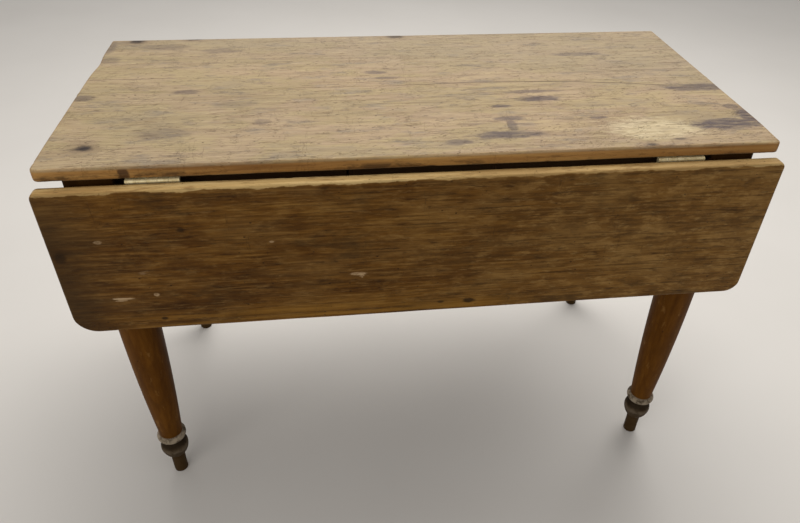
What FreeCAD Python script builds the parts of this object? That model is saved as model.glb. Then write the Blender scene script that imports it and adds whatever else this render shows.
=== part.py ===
"""Pine drop leaf table on four turned legs, with two hinged leaves and swinging fly brackets.

Millimetres, +Z up. The origin is on the floor under the middle of the top. +X runs along the
length and -Y is the front. The leaves hang straight down in this pose.
"""
import FreeCAD
import Part
import Sketcher
import math
import os

DIMENSIONS = (
    ("top_length", 1130, "length of the fixed top and of each leaf"),
    ("top_width", 520, "width of the fixed top, made of two equal boards"),
    ("table_height", 738, "floor to the surface of the top"),
    ("board_thickness", 20, "top boards and leaves"),
    ("board_corner_radius", 4, "corners of the fixed top, seen from above"),
    ("board_arris_radius", 2.5, "softened edges of the boards"),
    ("leaf_width", 262, "width of a leaf from its hinged edge"),
    ("leaf_corner_radius", 30, "the two free corners of a leaf"),
    ("joint_gap", 1.5, "gap between the top and a raised leaf"),
    ("pin_depth", 4, "hinge pin axis below the underside of the top"),
    ("hinge_spacing", 800, "between the two hinges of a leaf"),
    ("hinge_length", 76, "three inch butt hinge"),
    ("plate_reach", 30, "pin axis to the far edge of a hinge plate"),
    ("plate_setback", 4.2, "pin axis to the near edge of a hinge plate"),
    ("plate_thickness", 2, "hinge plate"),
    ("knuckle_radius", 3.6, "rolled barrel of the hinge"),
    ("knuckle_gap", 0.3, "between neighbouring knuckles"),
    ("hinge_pin_radius", 1.6, "steel pin of the hinge"),
    ("pin_clearance", 0.05, "radial clearance of a pin in the part that turns on it"),
    ("screw_head_radius", 4, "countersunk wood screw"),
    ("screw_head_depth", 2, "height of the conical head"),
    ("screw_shank_radius", 1.9, "shank of the wood screw"),
    ("screw_length", 15, "whole length of a hinge screw"),
    ("screw_setback", 18, "pin axis to the row of screws"),
    ("screw_pitch", 26, "between the screws of one plate"),
    ("drill_clearance", 0.05, "radial clearance of a drilled hole"),
    ("leg_inset_x", 492, "leg axis from the middle of the table, along the length"),
    ("leg_inset_y", 218, "leg axis from the middle of the table, across the width"),
    ("leg_block", 70, "side of the square head of a leg"),
    ("leg_block_bottom", 590, "underside of the square head"),
    ("peg_foot_radius", 14, "plain peg under the bulb"),
    ("peg_foot_top", 50, "top of the peg"),
    ("bulb_low_radius", 16, "where the bulb starts"),
    ("bulb_flank_radius", 23, "tapering underside of the bulb"),
    ("bulb_flank_height", 61, "where the flank radius lies"),
    ("bulb_radius", 27, "widest part of the bulb"),
    ("bulb_middle", 76, "height of the widest part"),
    ("bulb_brow_radius", 25.2, "bulb between its widest part and the neck"),
    ("bulb_brow_height", 86, "where the brow radius lies"),
    ("neck_radius", 20, "neck over the bulb"),
    ("neck_bottom", 93, "bottom of the neck"),
    ("ring_bottom", 102, "bottom of the ring"),
    ("ring_edge_radius", 24.5, "ring where it leaves the neck, and rim of its upper ledge"),
    ("ring_radius", 28, "widest part of the ring"),
    ("ring_middle", 109, "height of the ring's widest part"),
    ("ring_top", 118, "top of the ring and foot of the shaft"),
    ("ankle_radius", 22, "foot of the tapering shaft"),
    ("calf_radius", 30.6, "shaft part of the way up"),
    ("calf_height", 265, "where the calf radius lies"),
    ("thigh_radius", 35, "widest part of the shaft"),
    ("thigh_height", 430, "height of the widest part"),
    ("upper_radius", 34.7, "shaft above its widest part"),
    ("upper_height", 500, "where the upper radius lies"),
    ("collar_radius", 33.5, "top of the shaft"),
    ("collar_height", 562, "height of the top of the shaft"),
    ("groove_radius", 29.5, "grooves either side of the bead"),
    ("bead_bottom", 567, "bottom of the bead"),
    ("bead_radius", 34, "widest part of the bead"),
    ("bead_middle", 574, "height of the bead's widest part"),
    ("bead_top", 581, "top of the bead"),
    ("shoulder_radius", 34.5, "round shoulder under the square head"),
    ("shoulder_height", 586, "where the shoulder reaches its radius"),
    ("rail_height", 100, "inner rails and end rails"),
    ("rail_thickness", 20, "inner rails and end rails"),
    ("rail_middle_y", 196, "middle of an inner rail from the middle of the table"),
    ("tenon_thickness", 10, "all tenons"),
    ("tenon_length", 25, "all tenons"),
    ("tenon_shoulder", 10, "rail edge to tenon edge, above and below"),
    ("dowel_radius", 4, "pegs that lock the tenons"),
    ("dowel_height_low", 648, "lower peg"),
    ("dowel_height_high", 688, "upper peg"),
    ("rail_dowel_setback", 12.5, "peg axis from the inner face of the leg"),
    ("rail_dowel_length", 66, "peg through an inner rail's tenon"),
    ("end_dowel_length", 42, "peg through an end rail's tenon"),
    ("outer_rail_height", 80, "outer rails and fly brackets"),
    ("outer_rail_thickness", 22, "outer rails"),
    ("bracket_thickness", 21.4, "fly bracket"),
    ("bracket_top_gap", 0.6, "fly bracket under the top and the raised leaf"),
    ("bracket_length", 220, "pivot axis to the tip of a fly bracket"),
    ("bracket_bevel", 20, "how much shorter the inner face of the bracket is"),
    ("bevel_gap", 1.5, "between the bracket's tip and the outer rail"),
    ("bracket_shape_start", 80, "where the underside starts to rise, from the pivot"),
    ("bracket_shape_end", 125, "where the underside has risen"),
    ("bracket_tip_rise", 38, "how far the underside rises"),
    ("finger_height", 16, "one finger of the wooden knuckle joint"),
    ("finger_gap", 0.4, "above and below a moving finger"),
    ("shoulder_gap", 0.6, "wooden barrel to the shoulder that faces it"),
    ("pivot_pin_radius", 3, "iron pin of a fly bracket"),
    ("pivot_pin_drop", 3, "pin end below the outer rail"),
    ("glue_block_side", 24, "square section of a glue block"),
    ("glue_block_length", 60, "length of a glue block"),
    ("glue_block_pitch", 300, "between glue blocks along a rail"),
    ("top_screw_length", 38, "screws through the glue blocks into the top"),
)

HINGE_KNUCKLES = 5
FIXED_KNUCKLES = (0, 2, 4)
MOVING_KNUCKLES = (1, 3)
SCREW_ROW = (-1, 0, 1)
HINGE_SIDES = {"left": -1, "right": 1}
TABLE_SIDES = {"front": -1, "rear": 1}
SAME_PLACE = 0.01
HALF_TURN = {"front": 0, "rear": 180}

UNDERSIDE = "(Dims.table_height - Dims.board_thickness)"
PIN_Y = "((Dims.top_width + Dims.joint_gap) / 2)"
PIN_Z = f"({UNDERSIDE} - Dims.pin_depth)"
PLATE_LOW = "(Dims.pin_depth - Dims.plate_thickness)"
SCREW_Y = f"({PIN_Y} - Dims.screw_setback)"
DRILL_RADIUS = "(Dims.screw_shank_radius + Dims.drill_clearance)"
RAIL_Z = f"({UNDERSIDE} - Dims.rail_height)"
OUTER_RAIL_Y = "(Dims.rail_middle_y + (Dims.rail_thickness + Dims.outer_rail_thickness) / 2)"
OUTER_RAIL_Z = f"({UNDERSIDE} - Dims.outer_rail_height)"
PIVOT_X = "(Dims.bracket_length / 2)"
LEG_FACE_X = "(Dims.leg_inset_x - Dims.leg_block / 2)"
LEG_FACE_Y = "(Dims.leg_inset_y - Dims.leg_block / 2)"
GLUE_Y = "(Dims.rail_middle_y - Dims.rail_thickness / 2 - Dims.glue_block_side / 2)"

ALONG_Z = FreeCAD.Rotation()
ALONG_X = FreeCAD.Rotation(FreeCAD.Vector(0, 1, 0), 90)
ALONG_Y = FreeCAD.Rotation(FreeCAD.Vector(1, 0, 0), -90)
FOLDED_DOWN = FreeCAD.Rotation(FreeCAD.Vector(1, 0, 0), -90)


# ---- the sheet and small helpers -----------------------------------------------------------

def make_sheet(doc):
    """The driving dimensions, one row each: name, value, note."""
    sheet = doc.addObject("Spreadsheet::Sheet", "Dims")
    for row, (alias, value, note) in enumerate(DIMENSIONS, start=1):
        sheet.set(f"A{row}", alias)
        sheet.set(f"B{row}", str(value))
        sheet.set(f"C{row}", note)
        sheet.setAlias(f"B{row}", alias)
    doc.recompute()
    return sheet


def bind(item, **expressions):
    """Drive properties of an object by expressions."""
    for name, text in expressions.items():
        item.setExpression(name, text)


def place(item, x="0", y="0", z="0", rotation=ALONG_Z):
    """Put an object at a point given by three expressions."""
    item.Placement = FreeCAD.Placement(FreeCAD.Vector(), rotation)
    item.setExpression("Placement.Base.x", x)
    item.setExpression("Placement.Base.y", y)
    item.setExpression("Placement.Base.z", z)
    return item


def turned(side):
    """Parts of the rear side are those of the front, turned half way round the vertical."""
    return FreeCAD.Rotation(FreeCAD.Vector(0, 0, 1), HALF_TURN[side])


def labelled(item, label):
    """Give a sub-part the name of its node."""
    item.Label = label
    return item


def box(doc, name, size, corner):
    """A Part::Box from three sizes and its lowest corner."""
    item = doc.addObject("Part::Box", name)
    bind(item, Length=size[0], Width=size[1], Height=size[2])
    return place(item, *corner)


def cylinder(doc, name, radius, height, base, rotation=ALONG_Z):
    """A Part::Cylinder that starts at base and runs along its rotated Z."""
    item = doc.addObject("Part::Cylinder", name)
    bind(item, Radius=radius, Height=height)
    return place(item, *base, rotation)


def cone(doc, name, base_radius, tip_radius, height, base, rotation=ALONG_Z):
    """A Part::Cone that starts at base and runs along its rotated Z."""
    item = doc.addObject("Part::Cone", name)
    bind(item, Radius1=base_radius, Radius2=tip_radius, Height=height)
    return place(item, *base, rotation)


def fuse(doc, name, pieces):
    """One solid out of several pieces."""
    item = doc.addObject("Part::MultiFuse", name)
    item.Shapes = pieces
    item.Refine = True
    return item


def cut(doc, name, base, tool):
    """Take tool away from base."""
    item = doc.addObject("Part::Cut", name)
    item.Base = base
    item.Tool = tool
    return item


def gather(doc, name, pieces):
    """A group of separate solids in one node."""
    item = doc.addObject("Part::Compound", name)
    item.Links = pieces
    return item


# ---- sketches inside a body ----------------------------------------------------------------

def new_body(doc, label):
    """A PartDesign body with the label of its node."""
    return labelled(doc.addObject("PartDesign::Body", label), label)


def sketch_on(body, role, name, offset="0"):
    """A sketch on one of the body's own planes, moved along the plane's normal."""
    plane = next(item for item in body.Origin.OriginFeatures if item.Role == role)
    sketch = body.newObject("Sketcher::SketchObject", name)
    sketch.AttachmentSupport = [(plane, "")]
    sketch.MapMode = "FlatFace"
    sketch.setExpression("AttachmentOffset.Base.z", offset)
    return sketch


def fix_point(sketch, geometry, vertex, x, y):
    """Tie a vertex to two expressions."""
    for kind, text in (("DistanceX", x), ("DistanceY", y)):
        number = sketch.addConstraint(Sketcher.Constraint(kind, geometry, vertex, 1.0))
        sketch.setExpression(f"Constraints[{number}]", text)


def outline(sketch, corners):
    """A closed outline of straight lines through corners given as pairs of expressions."""
    first = sketch.GeometryCount
    count = len(corners)
    ring = []
    for index in range(count):
        angle = 2 * math.pi * index / count
        ring.append(FreeCAD.Vector(math.cos(angle), math.sin(angle), 0))
    for index in range(count):
        sketch.addGeometry(Part.LineSegment(ring[index], ring[(index + 1) % count]))
    for index in range(count):
        following = first + (index + 1) % count
        sketch.addConstraint(Sketcher.Constraint("Coincident", first + index, 2, following, 1))
        fix_point(sketch, first + index, 1, *corners[index])


def rectangle(sketch, x_low, x_high, y_low, y_high):
    """A rectangle between four expressions."""
    outline(sketch, [(x_low, y_low), (x_high, y_low), (x_high, y_high), (x_low, y_high)])


def circle(sketch, x, y, radius):
    """A circle with its centre and radius given as expressions."""
    shape = Part.Circle(FreeCAD.Vector(1, 1, 0), FreeCAD.Vector(0, 0, 1), 1)
    number = sketch.addGeometry(shape)
    size = sketch.addConstraint(Sketcher.Constraint("Radius", number, 1.0))
    sketch.setExpression(f"Constraints[{size}]", radius)
    fix_point(sketch, number, 3, x, y)


def pad(body, sketch, length):
    """Add material along the sketch's normal."""
    item = body.newObject("PartDesign::Pad", f"{sketch.Name}_pad")
    item.Profile = sketch
    bind(item, Length=length)
    return item


def pocket(body, sketch, length, along_normal=False):
    """Take material away, against the sketch's normal or along it."""
    item = body.newObject("PartDesign::Pocket", f"{sketch.Name}_pocket")
    item.Profile = sketch
    item.Reversed = along_normal
    bind(item, Length=length)
    return item


def fillet(body, name, radius, wanted):
    """Round every edge of the body's present shape that wanted() accepts."""
    body.Document.recompute()
    base = body.Tip
    names = []
    for number, edge in enumerate(base.Shape.Edges, start=1):
        if wanted(edge):
            names.append(f"Edge{number}")
    item = body.newObject("PartDesign::Fillet", name)
    item.Base = (base, names)
    bind(item, Radius=radius)
    return item


def is_flat_edge(edge, height):
    """An edge that lies wholly at one height."""
    bounds = edge.BoundBox
    return abs(bounds.ZMin - height) < SAME_PLACE and abs(bounds.ZMax - height) < SAME_PLACE


def is_upright(edge):
    """A straight edge along Z."""
    bounds = edge.BoundBox
    return bounds.XLength < SAME_PLACE and bounds.YLength < SAME_PLACE


# ---- boards --------------------------------------------------------------------------------

def make_top_board(doc, sheet, side):
    """One of the two boards of the fixed top, drilled for hinge screws and for the top screws."""
    sign = TABLE_SIDES[side]
    body = new_body(doc, f"top_board_{side}")
    plan = sketch_on(body, "XY_Plane", f"top_{side}_plan", UNDERSIDE)
    y_ends = sorted([0, sign])
    rectangle(plan, "-Dims.top_length / 2", "Dims.top_length / 2",
              f"{y_ends[0]} * Dims.top_width / 2", f"{y_ends[1]} * Dims.top_width / 2")
    pad(body, plan, "Dims.board_thickness")
    outer_y = sign * sheet.top_width / 2
    fillet(body, f"top_{side}_corners", "Dims.board_corner_radius",
           lambda edge: is_upright(edge) and abs(edge.BoundBox.YMin - outer_y) < SAME_PLACE)
    heights = (sheet.table_height, sheet.table_height - sheet.board_thickness)
    fillet(body, f"top_{side}_arris", "Dims.board_arris_radius",
           lambda edge: any(is_flat_edge(edge, height) for height in heights)
           and max(abs(edge.BoundBox.YMin), abs(edge.BoundBox.YMax)) > SAME_PLACE)
    holes = sketch_on(body, "XY_Plane", f"top_{side}_hinge_holes", UNDERSIDE)
    for hinge in HINGE_SIDES.values():
        for step in SCREW_ROW:
            x = f"{hinge} * Dims.hinge_spacing / 2 + {step} * Dims.screw_pitch"
            circle(holes, x, f"{sign} * {SCREW_Y}", DRILL_RADIUS)
    pocket(body, holes, "Dims.screw_length", along_normal=True)
    block_holes = sketch_on(body, "XY_Plane", f"top_{side}_block_holes", UNDERSIDE)
    for step in SCREW_ROW:
        circle(block_holes, f"{step} * Dims.glue_block_pitch", f"{sign} * {GLUE_Y}", DRILL_RADIUS)
    pocket(body, block_holes, "Dims.screw_length", along_normal=True)
    return body


def make_leaf(doc, sheet, side):
    """A hanging leaf. Local +X is the length, -Y the outside and the hinge pin is the origin."""
    body = new_body(doc, f"{side}_leaf")
    top = "(-Dims.joint_gap / 2)"
    plan = sketch_on(body, "XZ_Plane", f"{side}_leaf_plan", "Dims.pin_depth")
    rectangle(plan, "-Dims.top_length / 2", "Dims.top_length / 2", f"{top} - Dims.leaf_width", top)
    pad(body, plan, "Dims.board_thickness")
    bottom = -sheet.joint_gap / 2 - sheet.leaf_width
    fillet(body, f"{side}_leaf_corners", "Dims.leaf_corner_radius",
           lambda edge: edge.BoundBox.YLength > 1 and abs(edge.BoundBox.ZMin - bottom) < SAME_PLACE
           and edge.BoundBox.XLength < SAME_PLACE)
    faces = (-sheet.pin_depth, -sheet.pin_depth - sheet.board_thickness)
    fillet(body, f"{side}_leaf_arris", "Dims.board_arris_radius",
           lambda edge: any(abs(edge.BoundBox.YMin - face) < SAME_PLACE
                            and abs(edge.BoundBox.YMax - face) < SAME_PLACE for face in faces))
    holes = sketch_on(body, "XZ_Plane", f"{side}_leaf_hinge_holes", "Dims.pin_depth")
    for hinge in HINGE_SIDES.values():
        for step in SCREW_ROW:
            x = f"{hinge} * Dims.hinge_spacing / 2 + {step} * Dims.screw_pitch"
            circle(holes, x, "-Dims.screw_setback", DRILL_RADIUS)
    pocket(body, holes, "Dims.screw_length", along_normal=True)
    return place(body, "0", f"{TABLE_SIDES[side]} * {PIN_Y}", PIN_Z, turned(side))


# ---- butt hinges ---------------------------------------------------------------------------

def knuckle_start(number):
    """Where a knuckle starts along the pin, from the hinge's middle."""
    share = number / HINGE_KNUCKLES - 0.5
    gap = 0 if number == 0 else 0.5
    return f"({share} * Dims.hinge_length + {gap} * Dims.knuckle_gap)"


def knuckle_length(number):
    """Length of a knuckle, less half a gap on each side that faces another."""
    gaps = 0.5 if number in (0, HINGE_KNUCKLES - 1) else 1
    return f"(Dims.hinge_length / {HINGE_KNUCKLES} - {gaps} * Dims.knuckle_gap)"


def hinge_blank(doc, name, knuckles):
    """A flat plate over the pin with its knuckles, not yet bored. The pin lies along X."""
    size = ("Dims.hinge_length", "Dims.plate_reach - Dims.plate_setback", "Dims.plate_thickness")
    plate = box(doc, f"{name}_flat", size,
                ("-Dims.hinge_length / 2", "Dims.plate_setback", PLATE_LOW))
    pieces = [plate]
    for number in knuckles:
        start = knuckle_start(number)
        length = knuckle_length(number)
        pieces.append(cylinder(doc, f"{name}_barrel_{number}", "Dims.knuckle_radius", length,
                               (start, "0", "0"), ALONG_X))
        tongue = (length, "Dims.plate_setback + 1", f"Dims.knuckle_radius - {PLATE_LOW}")
        pieces.append(box(doc, f"{name}_tongue_{number}", tongue, (start, "0", PLATE_LOW)))
    return fuse(doc, f"{name}_blank", pieces)


def hinge_holes(doc, name, bore):
    """The pin's bore and the three countersunk screw holes of one plate."""
    tools = [cylinder(doc, f"{name}_bore", bore, "Dims.hinge_length + 2",
                      ("-Dims.hinge_length / 2 - 1", "0", "0"), ALONG_X)]
    for step in SCREW_ROW:
        x = f"{step} * Dims.screw_pitch"
        tools.append(cylinder(doc, f"{name}_drill_{step + 1}", DRILL_RADIUS,
                              "2 * Dims.pin_depth", (x, "Dims.screw_setback", "0")))
        tools.append(cone(doc, f"{name}_sink_{step + 1}",
                          "Dims.screw_head_radius + Dims.drill_clearance", DRILL_RADIUS,
                          "Dims.screw_head_depth", (x, "Dims.screw_setback", PLATE_LOW)))
    return fuse(doc, f"{name}_tools", tools)


def make_hinge(doc, side, hand):
    """Butt hinge: a plate under the top, a plate behind the leaf, and the pin they share."""
    x = f"{HINGE_SIDES[hand]} * Dims.hinge_spacing / 2"
    y = f"{TABLE_SIDES[side]} * {PIN_Y}"
    made = []
    kinds = (("top", FIXED_KNUCKLES, "Dims.hinge_pin_radius", ALONG_Z),
             ("leaf", MOVING_KNUCKLES, "Dims.hinge_pin_radius + Dims.pin_clearance", FOLDED_DOWN))
    for kind, knuckles, bore, fold in kinds:
        label = f"{side}_{hand}_hinge_{kind}_plate"
        blank = hinge_blank(doc, label, knuckles)
        plate = labelled(cut(doc, f"{label}_cut", blank, hinge_holes(doc, label, bore)), label)
        made.append(place(plate, x, y, PIN_Z, turned(side).multiply(fold)))
    label = f"{side}_{hand}_hinge_pin"
    start = f"{x} - Dims.hinge_length / 2"
    pin = cylinder(doc, label, "Dims.hinge_pin_radius", "Dims.hinge_length",
                   (start, y, PIN_Z), ALONG_X)
    made.append(labelled(pin, label))
    return made


# ---- screws --------------------------------------------------------------------------------

def screw(doc, name, length, base, rotation):
    """A countersunk wood screw that starts at the flat of its head."""
    head = cone(doc, f"{name}_head", "Dims.screw_head_radius", "Dims.screw_shank_radius",
                "Dims.screw_head_depth", ("0", "0", "0"))
    shank = cylinder(doc, f"{name}_shank", "Dims.screw_shank_radius",
                     f"{length} - Dims.screw_head_depth", ("0", "0", "Dims.screw_head_depth"))
    return place(fuse(doc, name, [head, shank]), *base, rotation)


def make_hinge_screws(doc, side, kind):
    """The six screws that hold one side's top plates, or its leaf plates."""
    sign = TABLE_SIDES[side]
    pieces = []
    for hand, hinge in HINGE_SIDES.items():
        for step in SCREW_ROW:
            x = f"{hinge} * Dims.hinge_spacing / 2 + {step} * Dims.screw_pitch"
            name = f"{side}_{hand}_{kind}_screw_{step + 1}"
            if kind == "top":
                base = (x, f"{sign} * {SCREW_Y}", f"{PIN_Z} + {PLATE_LOW}")
                pieces.append(screw(doc, name, "Dims.screw_length", base, ALONG_Z))
            else:
                base = (x, f"{sign} * ({PIN_Y} + {PLATE_LOW})", f"{PIN_Z} - Dims.screw_setback")
                outwards = FreeCAD.Rotation(FreeCAD.Vector(1, 0, 0), -90 * sign)
                pieces.append(screw(doc, name, "Dims.screw_length", base, outwards))
    label = f"{side}_{kind}_hinge_screws"
    return labelled(gather(doc, label, pieces), label)


# ---- legs ----------------------------------------------------------------------------------

def add_turning(sketch, sheet, stations):
    """Half profile from the axis up the outside and back: lines, and arcs through a middle point.

    Each station is (radius, height) by name, or (radius, height, radius, height) where an arc
    passes through the first point and ends at the second. A name of None is zero.
    """
    def number(alias):
        return float(sheet.get(alias)) if alias else 0.0

    def text(alias):
        return f"Dims.{alias}" if alias else "0"

    ends = [(station[-2], station[-1]) for station in stations]
    count = len(stations)
    for index in range(count):
        start = FreeCAD.Vector(number(ends[index - 1][0]), number(ends[index - 1][1]), 0)
        end = FreeCAD.Vector(number(ends[index][0]), number(ends[index][1]), 0)
        if len(stations[index]) == 4:
            middle = FreeCAD.Vector(number(stations[index][0]), number(stations[index][1]), 0)
            sketch.addGeometry(Part.Arc(start, middle, end))
        else:
            sketch.addGeometry(Part.LineSegment(start, end))
    vertices = []
    for index in range(count):
        goes_back = False
        if len(stations[index]) == 4:
            arc = sketch.Geometry[index]
            radius = number(ends[index][0])
            height = number(ends[index][1])
            goes_back = arc.EndPoint.distanceToPoint(FreeCAD.Vector(radius, height, 0)) > 0.001
        vertices.append((2, 1) if goes_back else (1, 2))
    for index in range(count):
        before = (index - 1) % count
        sketch.addConstraint(Sketcher.Constraint(
            "Coincident", before, vertices[before][1], index, vertices[index][0]))
        fix_point(sketch, index, vertices[index][1], text(ends[index][0]), text(ends[index][1]))
        if len(stations[index]) == 4:
            middle = FreeCAD.Vector(number(stations[index][0]), number(stations[index][1]), 0)
            mark = sketch.addGeometry(Part.Point(middle), True)
            fix_point(sketch, mark, 1, text(stations[index][0]), text(stations[index][1]))
            sketch.addConstraint(Sketcher.Constraint("PointOnObject", mark, 1, index))


def make_leg(doc, sheet, side, hand):
    """Square head with mortises over a turned shaft, ring, bulb and peg foot."""
    inward_x = -HINGE_SIDES[hand]
    inward_y = -TABLE_SIDES[side]
    label = f"{side}_{hand}_leg"
    body = new_body(doc, label)
    profile = sketch_on(body, "XZ_Plane", f"{label}_profile")
    add_turning(profile, sheet, (
        (None, None),
        ("peg_foot_radius", None),
        ("peg_foot_radius", "peg_foot_top"),
        ("bulb_low_radius", "peg_foot_top"),
        ("bulb_flank_radius", "bulb_flank_height", "bulb_radius", "bulb_middle"),
        ("bulb_brow_radius", "bulb_brow_height", "neck_radius", "neck_bottom"),
        ("neck_radius", "ring_bottom"),
        ("ring_edge_radius", "ring_bottom"),
        ("ring_radius", "ring_middle", "ring_edge_radius", "ring_top"),
        ("ankle_radius", "ring_top"),
        ("calf_radius", "calf_height", "thigh_radius", "thigh_height"),
        ("upper_radius", "upper_height", "collar_radius", "collar_height"),
        ("groove_radius", "bead_bottom"),
        ("bead_radius", "bead_middle", "groove_radius", "bead_top"),
        ("shoulder_radius", "shoulder_height"),
        ("shoulder_radius", "leg_block_bottom"),
        (None, "leg_block_bottom"),
    ))
    turning = body.newObject("PartDesign::Revolution", f"{label}_turning")
    turning.Profile = profile
    turning.ReferenceAxis = (profile, ["V_Axis"])
    head = sketch_on(body, "XY_Plane", f"{label}_head", "Dims.leg_block_bottom")
    half = "Dims.leg_block / 2"
    rectangle(head, f"-{half}", half, f"-{half}", half)
    pad(body, head, f"{UNDERSIDE} - Dims.leg_block_bottom")
    add_mortises(body, label, inward_x, inward_y)
    x = f"{-inward_x} * Dims.leg_inset_x"
    y = f"{-inward_y} * Dims.leg_inset_y"
    return place(body, x, y, "0")


def ordered(sign, near, far):
    """Two expressions on one side of zero, lowest first."""
    return (f"{near}", f"{far}") if sign > 0 else (f"-({far})", f"-({near})")


def add_mortises(body, label, inward_x, inward_y):
    """Two mortises and the four peg holes in a leg's head."""
    face = "Dims.leg_block / 2"
    top = f"{UNDERSIDE} - Dims.tenon_shoulder"
    depth = "Dims.rail_height - 2 * Dims.tenon_shoulder"
    half = "Dims.tenon_thickness / 2"
    rail_y = f"{inward_y} * (Dims.leg_inset_y - Dims.rail_middle_y)"
    rail = sketch_on(body, "XY_Plane", f"{label}_rail_mortise", top)
    x_ends = ordered(inward_x, f"{face} - Dims.tenon_length", face)
    rectangle(rail, *x_ends, f"{rail_y} - {half}", f"{rail_y} + {half}")
    pocket(body, rail, depth)
    end = sketch_on(body, "XY_Plane", f"{label}_end_mortise", top)
    y_ends = ordered(inward_y, f"{face} - Dims.tenon_length", face)
    rectangle(end, f"-{half}", half, *y_ends)
    pocket(body, end, depth)
    radius = "Dims.dowel_radius + Dims.drill_clearance"
    offset = f"({face} - Dims.rail_dowel_setback)"
    heights = ("Dims.dowel_height_low", "Dims.dowel_height_high")
    rail_pegs = sketch_on(body, "XZ_Plane", f"{label}_rail_pegs", f"{inward_y} * {face}")
    for height in heights:
        circle(rail_pegs, f"{inward_x} * {offset}", height, radius)
    pocket(body, rail_pegs, "Dims.rail_dowel_length", along_normal=inward_y < 0)
    end_pegs = sketch_on(body, "YZ_Plane", f"{label}_end_pegs", f"{-inward_x} * {face}")
    for height in heights:
        circle(end_pegs, f"{inward_y} * {offset}", height, radius)
    pocket(body, end_pegs, "Dims.end_dowel_length", along_normal=inward_x > 0)


# ---- frame ---------------------------------------------------------------------------------

def add_rail(body, name, half_span, drilled, along_y=False):
    """A rail with a shouldered tenon at each end, centred on the origin and standing on it."""
    thick = "Dims.rail_thickness / 2"
    thin = "Dims.tenon_thickness / 2"
    reach = f"({half_span} + Dims.tenon_length)"
    for part, half_length, half_width, z, height in (
            ("web", half_span, thick, "0", "Dims.rail_height"),
            ("tenon", reach, thin, "Dims.tenon_shoulder",
             "Dims.rail_height - 2 * Dims.tenon_shoulder")):
        sketch = sketch_on(body, "XY_Plane", f"{name}_{part}", z)
        if along_y:
            rectangle(sketch, f"-{half_width}", half_width, f"-{half_length}", half_length)
        else:
            rectangle(sketch, f"-{half_length}", half_length, f"-{half_width}", half_width)
        pad(body, sketch, height)
    role = "YZ_Plane" if along_y else "XZ_Plane"
    pegs = sketch_on(body, role, f"{name}_pegs", "Dims.rail_thickness")
    for sign in (-1, 1):
        for height in ("Dims.dowel_height_low", "Dims.dowel_height_high"):
            circle(pegs, f"{sign} * {drilled}", f"{height} - {RAIL_Z}",
                   "Dims.dowel_radius + Dims.drill_clearance")
    pocket(body, pegs, "2 * Dims.rail_thickness")


def make_inner_rail(doc, side):
    """Long rail between the legs, behind the fly bracket."""
    body = new_body(doc, f"{side}_inner_rail")
    add_rail(body, f"{side}_rail", LEG_FACE_X, f"({LEG_FACE_X} + Dims.rail_dowel_setback)")
    return place(body, "0", f"{TABLE_SIDES[side]} * Dims.rail_middle_y", RAIL_Z)


def make_end_rail(doc, hand):
    """Short rail between a front and a rear leg."""
    body = new_body(doc, f"{hand}_end_rail")
    add_rail(body, f"{hand}_end", LEG_FACE_Y, f"({LEG_FACE_Y} + Dims.rail_dowel_setback)",
             along_y=True)
    return place(body, f"{HINGE_SIDES[hand]} * Dims.leg_inset_x", "0", RAIL_Z)


def make_tenon_pegs(doc):
    """Four pegs in each leg, driven in from the two outer faces."""
    pieces = []
    outer_x = "(Dims.leg_inset_x + Dims.leg_block / 2)"
    outer_y = "(Dims.leg_inset_y + Dims.leg_block / 2)"
    for side, y_sign in TABLE_SIDES.items():
        for hand, x_sign in HINGE_SIDES.items():
            for level in ("low", "high"):
                height = f"Dims.dowel_height_{level}"
                inward_y = FreeCAD.Rotation(FreeCAD.Vector(1, 0, 0), 90 * y_sign)
                x = f"{x_sign} * ({LEG_FACE_X} + Dims.rail_dowel_setback)"
                pieces.append(cylinder(doc, f"{side}_{hand}_rail_peg_{level}", "Dims.dowel_radius",
                                       "Dims.rail_dowel_length",
                                       (x, f"{y_sign} * {outer_y}", height), inward_y))
                inward_x = FreeCAD.Rotation(FreeCAD.Vector(0, 1, 0), -90 * x_sign)
                y = f"{y_sign} * ({LEG_FACE_Y} + Dims.rail_dowel_setback)"
                pieces.append(cylinder(doc, f"{side}_{hand}_end_peg_{level}", "Dims.dowel_radius",
                                       "Dims.end_dowel_length",
                                       (f"{x_sign} * {outer_x}", y, height), inward_x))
    return labelled(gather(doc, "tenon_pegs", pieces), "tenon_pegs")


def make_glue_blocks(doc):
    """Three square blocks along each inner rail, glued under the top and bored for a screw."""
    pieces = []
    for side, sign in TABLE_SIDES.items():
        for step in SCREW_ROW:
            name = f"{side}_glue_block_{step + 1}"
            x = f"{step} * Dims.glue_block_pitch"
            half = "Dims.glue_block_side / 2"
            block = box(doc, f"{name}_wood",
                        ("Dims.glue_block_length", "Dims.glue_block_side", "Dims.glue_block_side"),
                        (f"{x} - Dims.glue_block_length / 2", f"{sign} * {GLUE_Y} - {half}",
                         f"{UNDERSIDE} - Dims.glue_block_side"))
            base = (x, f"{sign} * {GLUE_Y}", f"{UNDERSIDE} - Dims.glue_block_side")
            bore = cylinder(doc, f"{name}_bore", DRILL_RADIUS, "Dims.glue_block_side", base)
            sink = cone(doc, f"{name}_sink", "Dims.screw_head_radius + Dims.drill_clearance",
                        DRILL_RADIUS, "Dims.screw_head_depth", base)
            pieces.append(cut(doc, name, block, fuse(doc, f"{name}_tools", [bore, sink])))
    return labelled(gather(doc, "glue_blocks", pieces), "glue_blocks")


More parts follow.
